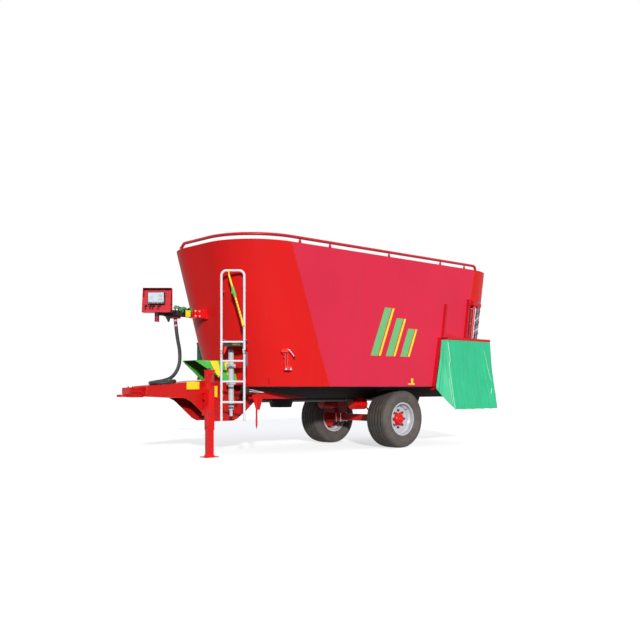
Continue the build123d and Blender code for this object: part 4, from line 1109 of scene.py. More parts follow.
@dataclass
class Tub:
    """Tub with its seams, side stripes, rim, counter knives and floor edge."""

    low: float = 984.0
    high: float = 2993.0
    half: float = 1120.0
    seams: tuple = ((-1710.0, -2430.0), (1235.0, 1680.0))
    stripe_foot: float = 1455.0
    stripe_lean: float = 0.42
    low_radius: float = 1100.0
    high_radius: float = 820.0
    front_tip: tuple = (-2810.0, -440.0)
    rear_tip: tuple = (2335.0, 165.0)
    seam_beads: int = 190
    gusset_x: tuple = (-2270, -1700, -460, 770, 1400)
    gusset_y: float = 1116.0
    gusset_tall: float = 62.0

    def wall_point(self, angle: float, z: float, out: float = 0.0, end: int = -1) -> tuple[Vector, Vector]:
        """Point on a tapered corner of the tub.

        Args:
            angle: degrees from the wagon's long axis to the left side.
            z: height in drawing millimetres.
            out: distance off the sheet in millimetres.
            end: minus one in front, one at the rear.

        Returns:
            The frame point and the direction away from the tub.
        """
        share = (z - self.low) / (self.high - self.low)
        radius = self.low_radius + (self.high_radius - self.low_radius) * share
        start, run = self.front_tip if end < 0 else self.rear_tip
        tip = start + run * share - end * radius
        away = Vector((end * math.cos(math.radians(angle)), -math.sin(math.radians(angle)), 0.0))
        centre = Vector((tip, -(self.half - radius), z))
        return spot(*(centre + away * (radius + out))), away

    def seam_lines(self) -> None:
        """Weld the side walls to the end shells."""
        spots = []
        for bottom, top in self.seams:
            for sign in (-1, 1):
                for k in range(self.seam_beads):
                    share = (k + 0.5) / self.seam_beads
                    x, z = bottom + (top - bottom) * share, self.low + (self.high - self.low) * share
                    spots.append((spot(x, sign * self.half, z), Vector((0.0, sign, 0.0))))
        BEADS.piece("seam_welds", spots, RED_WELD, Radius=0.0075, Height=0.28)

    def stripes(self) -> None:
        """Lay the slanted stripes of coloured foil on the left wall."""
        green, yellow = Form(), Form()
        for k, tall in enumerate((745, 595, 445)):
            foot = -870 + 330 * k
            for form, start, wide in ((green, 0, 150), (yellow, 172, 44)):
                lean = self.stripe_lean * tall
                x0 = foot + start
                outline = trail((x0, -self.half, self.stripe_foot), (x0 + wide, -self.half,
                                                                     self.stripe_foot),
                                (x0 + wide + lean, -self.half, self.stripe_foot + tall),
                                (x0 + lean, -self.half, self.stripe_foot + tall))
                form.prism(outline, Vector((0.0, -0.0008, 0.0)))
        green.piece("stripes_green", LIME)
        yellow.piece("stripes_yellow", YELLOW)
        mark = Form()
        for x0, x1, z0, z1 in ((-30, 128, 1012, 1036), (46, 92, 1040, 1112)):
            mark.block(spot((x0 + x1) / 2, -self.half - 0.4, (z0 + z1) / 2),
                       ((x1 - x0) / 1000, 0.0008, (z1 - z0) / 1000))
        mark.piece("lift_mark", YELLOW)

    def knife_lever(self, name: str, end: int, sign: int) -> None:
        """Dress one counter knife with its hinge, handle, slot strip and knobs.

        Args:
            name: the end's word.
            end: minus one in front, one at the rear.
            sign: minus one on the left, one on the right.
        """
        def at(angle: float, z: float, out: float) -> Vector:
            """Place off the sheet on this knife's corner."""
            point, _ = self.wall_point(angle, z, out, end)
            local = point - ORIGIN
            return ORIGIN + Vector((local.x, local.y * (1 if sign < 0 else -1), local.z))

        dark, red, shiny = Form(), Form(), Form()
        away = self.wall_point(58, 1360, 0, end)[1]
        away = Vector((away.x, away.y * (1 if sign < 0 else -1), 0.0))
        turn = Matrix.Rotation(math.atan2(away.y, away.x), 3, "Z")
        for z in (1250, 1480):
            red.block(at(58, z, 66), (0.018, 0.088, 0.034), turn, 0.004)
        red.tube([at(56.0, 1500, 62), at(60.8, 1500, 62)], 0.016, 16)
        shiny.tube([at(60.4, 1500, 74), at(61.4, 1490, 86), at(62.8, 1446, 88), at(64.0, 1402, 80)], 0.006,
                   12)
        dark.tube([at(63.9, 1404, 80), at(64.3, 1388, 79)], 0.009, 12)
        # The slot strip is painted shade: a near-black strip standing in for the shaded recess of the
        # knife's slot.
        dark.block(at(58, 1365, 58), (0.006, 0.005, 0.185), turn, 0.001)
        for angle in (56.3, 59.7):
            shiny.lathe([(0.0, 0.020), (0.012, 0.018), (0.017, 0.010), (0.017, 0.0), (0.0, 0.0)],
                        at(angle, 1226, 62), away, 20)
        red.lathe([(0.0, 0.030), (0.010, 0.028), (0.016, 0.016), (0.012, 0.0), (0.0, 0.0)],
                  at(58, 1218, 62), away, 20)
        red.piece(f"knife_hinge_{name}", RED)
        dark.piece(f"knife_slot_{name}", SHADOW_RED)
        shiny.piece(f"knife_handle_{name}", RUNG_SILVER)
        spots = [(at(a, z, 56), away) for a in (56.6, 59.4) for z in (1290, 1330, 1400, 1440)]
        BOLTS.piece(f"knife_bolts_{name}", spots, RED, Across=0.014, Height=0.007)

    def build(self) -> None:
        """Dress the tub."""
        repaint(TUB_CONE, "tub_front_shell", "tub_rear_shell")
        repaint(TUB_WALL_REFLECTION, "tub_left_wall", "tub_right_wall")
        repaint(TUB_FLOOR_SHADE, "tub_floor")
        repaint(RED, "counter_knife_front", "counter_knife_rear")
        self.seam_lines()
        self.stripes()
        self.knife_lever("front", -1, -1)
        self.knife_lever("rear", 1, 1)
        grip = Form().tube([self.wall_point(43, 1120, 2)[0], self.wall_point(43, 1118, 26)[0],
                            self.wall_point(42.4, 1030, 26)[0], self.wall_point(42.2, 1026, 2)[0]], 0.007,
                           12)
        grip.piece("shell_grip", CRIMSON)
        feet = Form()
        for x in self.gusset_x:
            for side in (-1, 1):
                y, top = side * self.gusset_y, self.high + self.gusset_tall
                feet.prism(trail((x - 30, y, self.high), (x + 30, y, self.high), (x + 9, y, top),
                                 (x - 9, y, top)), Vector((0, 0.005, 0)))
        feet.piece("rail_gussets", CRIMSON)


# Curtain and discharge


@dataclass
class Curtain:
    """Cloth round the side discharge, hung from its bar in three panels."""

    top: tuple = ((706, -1196), (762, -1275), (1908, -1275), (1954, -1196))
    hem: tuple = ((490, -1196), (764, -1447), (1922, -1445), (2086, -1196))
    high: float = 1747.0
    low: float = 612.0
    rise: float = 350.0
    across: int = 320
    down: int = 110
    thick: float = 0.003
    strip_z: float = 1770.0
    corner_width: float = 0.011
    hang: tuple = (11.0, 8.0, 12.0)
    ripple: float = 1.6
    hem_wave: float = 3.0
    middle: tuple = (1330.0, -1000.0)
    seam_steps: int = 240
    stitches: int = 230
    panels: tuple = (0.12, 0.86, 1.0)
    folds: tuple = ((0.205, 0.012, 0.009, 5.0), (0.30, 0.02, 0.012, 5.0), (0.345, 0.0, 0.009, 4.0),
                    (0.41, -0.02, 0.011, 4.0), (0.52, 0.01, 0.014, 3.0), (0.655, 0.11, 0.0085, 15.0),
                    (0.78, 0.03, 0.012, 8.0), (0.05, -0.02, 0.010, 9.0), (0.93, 0.0, 0.012, 8.0))
    # Painted highlights: width and points along u and v of pale tubes laid on the sharp folds.
    highlight_rows: tuple = (
        (0.0042, ((0.120, 0.03), (0.120, 0.3), (0.121, 0.62), (0.123, 0.8), (0.123, 0.99))),
        (0.0034, ((0.733, 0.14), (0.752, 0.25), (0.770, 0.374), (0.786, 0.49), (0.796, 0.58))),
        (0.0052, ((0.792, 0.70), (0.780, 0.74), (0.768, 0.78))),
        (0.0026, ((0.094, 0.60), (0.100, 0.75), (0.108, 0.96))))

    def corner(self, u: float) -> float:
        """How near a place is to one of the two rounded corners, from zero to one."""
        return max(math.exp(-((u - c) / self.corner_width) ** 2) for c in self.panels[:2])

    def shape(self, u: float, v: float) -> Vector:
        """Point of the cloth.

        Args:
            u: share round the cloth from the front cheek to the rear one.
            v: share down from the bar to the hem.

        Returns:
            The frame point.
        """
        start, k = 0.0, 0
        while u > self.panels[k] and k < 2:
            start, k = self.panels[k], k + 1
        share = (u - start) / (self.panels[k] - start)
        side = 1.0 - share if k == 0 else (share if k == 2 else 0.0)
        z = self.high + (self.low + self.rise * side - self.high) * v
        run = (self.high - z) / (self.high - self.low)
        flat = Vector(self.top[k]).lerp(Vector(self.top[k + 1]), share).lerp(
            Vector(self.hem[k]).lerp(Vector(self.hem[k + 1]), share), run)
        ease = min(1.0, v * 2.5)
        flat_in, belly_in, corner_in = self.hang
        inward = flat_in + belly_in * math.sin(math.pi * min(1.0, v * 1.1)) + corner_in * self.corner(u)
        for place, drift, wide, deep in self.folds:
            off = u - place - drift * v - 0.004 * math.sin(7 * v)
            inward -= deep * math.exp(-(off / wide) ** 2) * ease
        inward += 6.0 * noise.noise(Vector((u * 11, v * 1.8, 4.0)))
        inward += 2.2 * noise.noise(Vector((u * 34, v * 4, 9.0)))
        inward += self.ripple * math.sin(u * 90 + 0.8 * math.sin(v * 3)) * v ** 3
        way = (Vector(self.middle) - flat).normalized() if k != 1 else Vector((0.0, 1.0))
        flat = flat + way * max(0.0, inward) * ease
        return spot(flat.x, flat.y, z + self.hem_wave * math.sin(u * 41) * v ** 4)

    def build(self) -> None:
        """Make the cloth, its hem, its clamp strip and the strip's bolts."""
        part = bmesh.new()
        grid = [[part.verts.new(self.shape(i / self.across, j / self.down)) for i in range(self.across + 1)]
                for j in range(self.down + 1)]
        for j in range(self.down):
            for i in range(self.across):
                part.faces.new((grid[j][i], grid[j][i + 1], grid[j + 1][i + 1], grid[j + 1][i]))
        bmesh.ops.recalc_face_normals(part, faces=part.faces)
        area = sum(f.calc_area() for f in part.faces)
        mesh = bpy.data.meshes.new("curtain")
        part.to_mesh(mesh)
        part.free()
        carrier = bpy.data.objects.new("curtain_grid", mesh)
        bpy.context.scene.collection.objects.link(carrier)
        solid = carrier.modifiers.new("thickness", "SOLIDIFY")
        solid.thickness, solid.offset = self.thick, 0.0
        graph = bpy.context.evaluated_depsgraph_get()
        result = bpy.data.meshes.new_from_object(carrier.evaluated_get(graph))
        carrier.modifiers.remove(solid)
        bpy.data.objects.remove(carrier)
        cloth = place("curtain", result, CLOTH, Body.FRAME, 60)
        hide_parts("chute_curtain")
        log.info("curtain of %.2f square metres", area)
        self.hem_seam()
        self.paint_crease_highlights()
        strip = Form().block(spot(1335, -1279.5, self.strip_z), (1.146, 0.005, 0.034), soften=0.001)
        strip.piece("curtain_strip", CRIMSON)
        spots = [(spot(790 + 91 * k, -1282, self.strip_z), LEFTWARD) for k in range(13)]
        BOLTS.piece("curtain_bolts", spots, CRIMSON, Across=0.015, Height=0.007)

    def paint_crease_highlights(self) -> None:
        """Lay pale tubes along the sharp folds: painted highlights of the cloth's gloss there."""
        lines = Form()
        for wide, row in self.highlight_rows:
            points = []
            for (u0, v0), (u1, v1) in zip(row, row[1:]):
                points += [self.shape(u0 + (u1 - u0) * k / 12, v0 + (v1 - v0) * k / 12) for k in range(12)]
            points.append(self.shape(*row[-1]))
            lines.tube(points, wide, 8)
        lines.piece("curtain_crease_highlights", CREASE_HIGHLIGHT)

    def hem_seam(self) -> None:
        """Sew the hem: a welt along the lower edge with a row of stitches above it."""
        welt = [self.shape(k / self.seam_steps, 0.996) for k in range(self.seam_steps + 1)]
        Form().tube(welt, 0.0042, 8).piece("curtain_welt", CLOTH)
        spots = []
        for k in range(self.stitches):
            u = (k + 0.5) / self.stitches
            here = self.shape(u, 0.968)
            out = (self.shape(u + 0.002, 0.968) - here).cross(self.shape(u, 0.97) - here)
            out = out if out.y < 0 or u < self.panels[0] else -out
            spots.append((here + out.normalized() * 0.0018, out))
        LUGS.piece("curtain_stitches", spots, LIME, Length=0.004, Width=0.002, Height=0.0014)


@dataclass
class Discharge(Placed):
    """Door, guides, cylinder, pipe, bar and chute; all but the bar lean rearwards."""

    lean: float = 8.5
    foot_x: float = 977.0
    foot_z: float = 984.0
    cylinder_x: float = 1458.0
    pipe_x: float = 1359.0
    front_y: float = -1205.0
    radius: float = 28.0
    windings: float = 2.5
    winding_steps: int = 120

    def at(self, x: float, y: float, z: float) -> Vector:
        """Frame point of a place drawn before the discharge was leaned."""
        turn = math.radians(self.lean)
        along, up = x - self.foot_x, z - self.foot_z
        return spot(self.foot_x + along * math.cos(turn) + up * math.sin(turn), y,
                    self.foot_z + up * math.cos(turn) - along * math.sin(turn))

    def build(self) -> None:
        """Dress the discharge."""
        repaint(CRIMSON, "door_frame", "discharge_door", "chute_bar", "cylinder_hanger")
        repaint(RED, "chute_floor")
        repaint(BRIGHT, "door_rod")
        repaint(HYDRAULIC, "door_cylinder")
        self.up = (self.at(0, 0, 1000) - self.at(0, 0, 0)).normalized()
        self.tilt = Matrix.Rotation(math.radians(self.lean), 3, "Y")
        self.cylinder()
        self.pipes()
        self.guides()

    def cylinder(self) -> None:
        """Ring the cylinder's ends and wind its two hoses round it."""
        rings = Form()
        for z, deep in ((1853, 0.026), (1892, 0.012), (2400, 0.014), (2488, 0.018)):
            rings.lathe([(0.0285, 0.0), (0.034, 0.002), (0.034, deep), (0.0285, deep + 0.002)],
                        self.at(self.cylinder_x, self.front_y, z), self.up, 28, closed=True)
        rings.piece("cylinder_glands", DARK_STEEL)
        for name, finish, start in (("pale", RUNG_SILVER, 0.0), ("dark", SEAL, math.pi)):
            line = []
            reach = self.radius + 7.5
            for k in range(self.winding_steps + 1):
                a = start + 2 * math.pi * self.windings * k / self.winding_steps
                x, y = self.cylinder_x + reach * math.cos(a), self.front_y + reach * math.sin(a)
                line.append(self.at(x, y, 1915 + 470 * k / self.winding_steps))
            Form().tube(line, 0.0062, 10).piece(f"cylinder_hose_{name}", finish)

    def pipes(self) -> None:
        """Add the silver lines beside the red pipe, with their fittings and collars."""
        lines, fittings, collars = Form(), Form(), Form()
        fittings.tube(self.line((1312, -1186, 1800), (1312, -1186, 2380)), 0.0085, 14)
        for x, y, low, high in ((1409, -1192, 1800, 2440), (1502, -1196, 1930, 2420)):
            lines.tube(self.line((x, y, low), (x, y, high)), 0.0085, 14)
            for z in (low + 60, high - 30):
                fittings.lathe([(0.0, 0.0), (0.013, 0.0), (0.014, 0.004), (0.014, 0.018), (0.013, 0.022),
                                (0.0, 0.022)], self.at(x, y, z), self.up, 6)
        elbow = self.line((1502, -1196, 2420), (1500, -1196, 2452), (1486, -1198, 2468), (1462, -1203, 2472))
        fittings.tube(elbow, 0.014, 14)
        for z in (1850, 2120, 2380):
            lines.block(self.at(1405, -1182, z), (0.206, 0.004, 0.016), self.tilt, 0.001)
        for z in (1800, 2436):
            collars.lathe([(0.0265, 0.0), (0.031, 0.002), (0.031, 0.016), (0.0265, 0.018)],
                          self.at(self.pipe_x, self.front_y + 12, z), self.up, 28, closed=True)
        lines.piece("door_lines", RUNG_SILVER)
        fittings.piece("door_fittings", DARK_STEEL)
        collars.piece("pipe_collars", CRIMSON)

    def guides(self) -> None:
        """Bolt the two guides, cap the rear one and lay the stiffeners on the door."""
        spots = [(self.at(x, -1172.5, z), LEFTWARD) for x, top in ((686, 2290), (1268, 2480))
                 for z in range(1080, top, 130)]
        BOLTS.piece("guide_bolts", spots, CRIMSON, Across=0.016, Height=0.008)
        cap = Form().block(self.at(1292, -1152, 2519), (0.120, 0.050, 0.006), self.tilt, 0.001)
        cap.piece("guide_cap", CRIMSON)
        grip = Form()
        for z in (1560, 1640):
            grip.tube(self.line((905, -1158, z), (905, -1166, z), (1045, -1166, z), (1045, -1158, z)),
                      0.006, 12)
        grip.piece("door_stiffeners", CRIMSON, Body.DOOR)


# Chassis


@dataclass
class Chassis:
    """Rails, axle, brakes, drive line, lamps and what hangs on them."""

    flange_bolts: int = 16
    flange_circle: float = 0.247
    flange_z: float = 924.0
    lamp_x: float = 2461.0
    lamp_z: float = 900.0
    lamp_bars: tuple = (738, 800, 878, 960)
    clamp_x: tuple = (-68, 68)
    clamp_y: tuple = (395, 505)

    def build(self) -> None:
        """Dress the chassis."""
        # Painted shade: the right rail and the cross members take the near-black red for the shadow under
        # the tub.
        repaint(SHADOW_RED, "chassis_rail_right", *(f"cross_member_{k}" for k in range(1, 6)))
        # Painted shadow: the left rail's dark rear part stands in for the tub's cast shadow.
        repaint(RAIL_SHADOW_PAINT, "chassis_rail_left")
        repaint(RED, "brake_chamber_left", "brake_chamber_right", "axle_beam", "rear_lamp_bar")
        repaint(BLACK, "gearbox_front", "gearbox_rear")
        repaint(DARK_STEEL, "drive_shaft", "through_shaft")
        repaint(LENS_RED, "rear_lamp_left", "rear_lamp_right")
        self.gearboxes()
        self.lamps()
        self.axle()

    def gearboxes(self) -> None:
        """Ring each gearbox flange with bolts."""
        spots = []
        for x in AUGER_X:
            for k in range(self.flange_bolts):
                out = ray(2 * math.pi * k / self.flange_bolts)
                spots.append((spot(x, 0, self.flange_z) + out * self.flange_circle, DOWN))
        BOLTS.piece("gearbox_bolts", spots, BOLT, Across=0.019, Height=0.011)

    def lamps(self) -> None:
        """Divide the lamps into fields, wire them and set a blank plate between them."""
        amber, pale, dark = Form(), Form(), Form()
        for sign in (-1, 1):
            for form, y, wide in ((amber, 915, 0.068), (pale, 772, 0.050)):
                form.block(spot(self.lamp_x, sign * y, self.lamp_z), (0.004, wide, 0.070), soften=0.001)
            for y in self.lamp_bars:
                dark.block(spot(self.lamp_x - 1, sign * y, self.lamp_z), (0.006, 0.004, 0.080))
            dark.tube(trail((2412, sign * 800, 858), (2405, sign * 760, 838), (2400, sign * 600, 842),
                            (2398, sign * 480, 862)), 0.006, 10)
        plate = Form().block(spot(2421, 0, 905), (0.004, 0.52, 0.11), soften=0.001)
        plate.piece("blank_plate", PALE_PLASTIC)
        amber.piece("lamp_amber", LENS_AMBER)
        pale.piece("lamp_pale", PALE_PLASTIC)
        dark.piece("lamp_frames", SEAL)

    def axle(self) -> None:
        """Clamp the axle with nutted straps and lay the brake hoses."""
        clamps, hoses = Form(), Form()
        near, far = self.clamp_y
        for sign in (-1, 1):
            for x in self.clamp_x:
                bend = ((far, 400), (far, 536), (far - 13, 545), (near + 13, 545), (near, 536), (near, 400))
                clamps.tube([spot(x, sign * y, z) for y, z in bend], 0.010, 12)
            clamps.block(spot(0, sign * 450, 402), (0.19, 0.15, 0.012), soften=0.002)
            hoses.tube(trail((-560, sign * 365, 698), (-590, sign * 372, 704), (-640, sign * 390, 745),
                             (-700, sign * 400, 830), (-760, sign * 402, 862)), 0.009, 12)
            hoses.tube(trail((60, sign * 300, 500), (90, sign * 330, 470), (100, sign * 420, 455),
                             (80, sign * 560, 440), (40, sign * 650, 425)), 0.007, 12)
        clamps.piece("axle_clamps", BOLT)
        hoses.piece("brake_hoses", HOSE)
        spots = [(spot(x, sign * y, 396), DOWN) for sign in (-1, 1) for x in self.clamp_x
                 for y in self.clamp_y]
        BOLTS.piece("axle_nuts", spots, BOLT, Across=0.024, Height=0.014)


@dataclass
class Augers:
    """The two mixing augers, with their caps and bolts."""

    cap_z: float = 2634.0
    bolts: int = 8
    bolt_circle: float = 0.105

    def build(self) -> None:
        """Dress the augers."""
        repaint(WORN, "auger_front", "auger_rear")
        for word, x, body in zip(("front", "rear"), AUGER_X, (Body.FRONT_AUGER, Body.REAR_AUGER)):
            cap = Form().lathe([(0.0, 0.012), (0.120, 0.012), (0.138, 0.006), (0.138, 0.0), (0.0, 0.0)],
                               spot(x, 0, self.cap_z), UP, 40)
            cap.piece(f"auger_cap_{word}", RED, body)
            spots = [(spot(x, 0, self.cap_z + 12) + ray(2 * math.pi * k / self.bolts) * self.bolt_circle, UP)
                     for k in range(self.bolts)]
            BOLTS.piece(f"auger_bolts_{word}", spots, BOLT, body, Across=0.019, Height=0.010)


# Drawbar and hood


@dataclass
class Drawbar:
    """Drawbar with its hitch, jack, hood, tank, pipe post and hydraulic cylinder."""

    side_y: float = -220.0
    sheet: float = 0.0008
    jack_x: float = -3246.0
    jack_y: float = -318.0
    jack_top: float = 1215.0
    post_x: float = -2972.0
    post_y: float = -450.0
    hitch_x: tuple = (-4300, -4225, -4170)
    hitch_z: tuple = (892, 952)
    nose: tuple = (-4130, -150, 842)
    weld_beads: int = 35
    weld_step: float = 4.2
    hood_out: Vector = field(default_factory=lambda: Vector((-0.27, -0.96, 0.0)).normalized())

    def build(self) -> None:
        """Dress the drawbar group."""
        repaint(DRAWBAR_RED, "drawbar", "hitch_block", "towing_eye")
        repaint(RED, "jack_housing", "jack_leg")
        repaint(GREEN, "drive_guard")
        repaint(DARK_GREEN, "oil_tank")
        repaint(PIPE_GREY, "pipe_post")
        self.stickers()
        self.jack()
        self.hitch()
        self.hood()
        self.tank()
        self.post()
        self.block()

    def hood_y(self, x: float) -> float:
        """Left face of the hood at a place along it."""
        return -170 - 190 * (x + 3365) / 665

    def stickers(self) -> None:
        """Lay blank yellow foil on the drawbar and on the hood's side."""
        foil = Form()
        for x0, x1, z0, z1 in ((-3554, -3349, 946, 1052), (-3115, -3046, 836, 992)):
            foil.prism([spot(x, self.side_y, z) for x, z in ((x0, z0), (x1, z0), (x1, z1), (x0, z1))],
                       LEFTWARD * self.sheet)
        for corners in (((-3174, 1345), (-3061, 1345), (-3006, 1119), (-3061, 1119)),
                        ((-2975, 1331), (-2918, 1331), (-2875, 1148), (-2928, 1148))):
            foil.prism([spot(x, self.hood_y(x) - 0.2, z) for x, z in corners],
                       self.hood_out * self.sheet)
        corners = ((-2990, 900), (-2960, 905), (-2945, 850), (-2975, 845))
        foil.prism([spot(x, self.side_y, z) for x, z in corners], LEFTWARD * self.sheet)
        foil.piece("blank_stickers", YELLOW)

    def jack(self) -> None:
        """Add the jack's crank, its pins and the ribs of its foot."""
        crank, pins = Form(), Form()
        x, y, top = self.jack_x, self.jack_y, self.jack_top
        crank.lathe([(0.0, 0.0), (0.022, 0.0), (0.022, 0.02), (0.012, 0.026), (0.0, 0.026)],
                    spot(x, y, top), UP, 24)
        crank.tube(trail((x, y - 55, top - 60), (x, y - 92, top - 60), (x - 6, y - 98, top - 66),
                         (x - 22, y - 98, top - 170), (x - 24, y - 104, top - 176),
                         (x - 24, y - 150, top - 178)), 0.008, 12)
        crank.piece("jack_crank", DARK_STEEL)
        for z in (620, 930):
            for aside in (-34, 34):
                pins.lathe([(0.0, 0.0), (0.012, 0.0), (0.012, 0.012), (0.0, 0.014)],
                           spot(x + aside, y - 50, z), LEFTWARD, 6)
        pins.tube(trail((x - 70, y, 420), (x - 50, y, 420)), 0.009, 12)
        pins.piece("jack_pins", DARK_STEEL)
        ribs = Form()
        for k in range(4):
            out = ray(math.pi / 4 + k * math.pi / 2)
            base = spot(x, y, 12)
            ribs.prism([base + out * 0.05, base + out * 0.085, base + out * 0.05 + Vector((0, 0, 0.045))],
                       out.cross(UP) * 0.006)
        ribs.piece("jack_foot_ribs", RED, Body.JACK)

    def hitch(self) -> None:
        """Bolt the hitch block to the nose, brace its tongue and weld the nose's edge."""
        spots = [(spot(x, side * 101, z), -side * LEFTWARD) for side in (-1, 1)
                 for x in self.hitch_x for z in self.hitch_z]
        spots += [(spot(x, y, 968), UP) for x in (-4290, -4200) for y in (-60, 60)]
        BOLTS.piece("hitch_bolts", spots, DRAWBAR_RED, Across=0.026, Height=0.014)
        web = Form()
        for y in (-66, 60):
            web.prism(trail((-4386, y, 868), (-4366, y, 878), (-4304, y, 906), (-4304, y, 868)),
                      Vector((0, 0.006, 0)))
        web.piece("tongue_webs", DRAWBAR_RED)
        x, y, z = self.nose
        spots = [(spot(x, y, z + k * self.weld_step), Vector((-0.7, -0.7, 0)))
                 for k in range(self.weld_beads)]
        BEADS.piece("nose_weld", spots, RED, Radius=0.006, Height=0.4)

    def hood(self) -> None:
        """Bead the hood's edges and bolt its side."""
        edge = Form()
        for side in (-1, 1):
            edge.tube(trail((-3362, side * 170, 1330), (-3363, side * 170, 1348), (-3350, side * 176, 1350)),
                      0.0045, 10)
        edge.tube(trail((-3365, -168, 1349), (-3365, 168, 1349)), 0.0045, 10)
        edge.tube(trail((-3345, -172, 1322), (-2985, -278, 1090)), 0.0045, 10)
        edge.tube(trail((-3345, 172, 1322), (-2985, 278, 1090)), 0.0045, 10)
        edge.piece("hood_edges", GREEN)
        places = ((-2900, 1110), (-2840, 1290), (-3210, 1330))
        spots = [(spot(x, self.hood_y(x) - 0.5, z), self.hood_out) for x, z in places]
        BOLTS.piece("hood_bolts", spots, BOLT, Across=0.018, Height=0.009)

    def tank(self) -> None:
        """Stand the dark tank behind the hood, with its red lid."""
        seat, away = Tub().wall_point(52, 1375)
        seat, away = Vector((seat.x, 2 * ORIGIN.y - seat.y, seat.z)), Vector((away.x, -away.y, 0))
        turn = Matrix.Rotation(math.atan2(away.y, away.x), 3, "Z")
        head = Form().block(seat + away * 0.075 + UP * 0.132, (0.040, 0.240, 0.266), turn, 0.006)
        head.piece("tank_head", DARK_GREEN)
        lid = Form().block(seat + away * 0.078 + UP * 0.276, (0.050, 0.256, 0.022), turn, 0.004)
        lid.piece("tank_lid", CRIMSON)

    def post(self) -> None:
        """Ring the grey pipe with dark rubber and cap it."""
        rings = Form()
        for z in (718, 1035, 1270):
            rings.lathe([(0.0392, 0.0), (0.0445, 0.003), (0.0445, 0.021), (0.0392, 0.024)],
                        spot(self.post_x, self.post_y, z), UP, 32, closed=True)
        rings.piece("post_rings", SEAL)
        cap = Form().lathe([(0.0, 0.0), (0.026, 0.0), (0.030, 0.004), (0.030, 0.02), (0.0, 0.024)],
                           spot(self.post_x, self.post_y, 1488), UP, 28)
        cap.piece("post_cap", DARK_STEEL)

    def block(self) -> None:
        """Hang the black hydraulic cylinder and its silver lines on the left rail."""
        dark, lines = Form(), Form()
        root = spot(-2858, -540, 934)
        dark.lathe([(0.0, 0.0), (0.044, 0.0), (0.050, 0.006), (0.050, 0.096), (0.044, 0.102), (0.022, 0.102),
                    (0.022, 0.125), (0.0, 0.125)], root, REARWARD, 32)
        dark.block(spot(-2735, -520, 886), (0.26, 0.05, 0.012), soften=0.002)
        dark.block(spot(-2800, -540, 893), (0.05, 0.06, 0.02), soften=0.002)
        dark.tube(trail((-2850, -540, 925), (-2880, -540, 915), (-2900, -530, 880), (-2905, -500, 840),
                        (-2900, -470, 780)), 0.010, 12)
        for high, low, rear in ((944, 899, -2466), (914, 896, -2493)):
            lines.tube([spot(-2738, -540, high), spot(-2650, -540, high - (high - low) * 0.33),
                        spot(rear, -540, low)], 0.0055, 14)
        dark.piece("hydraulic_block", SEAL)
        lines.piece("hydraulic_lines", RUNG_SILVER)


# Ladder


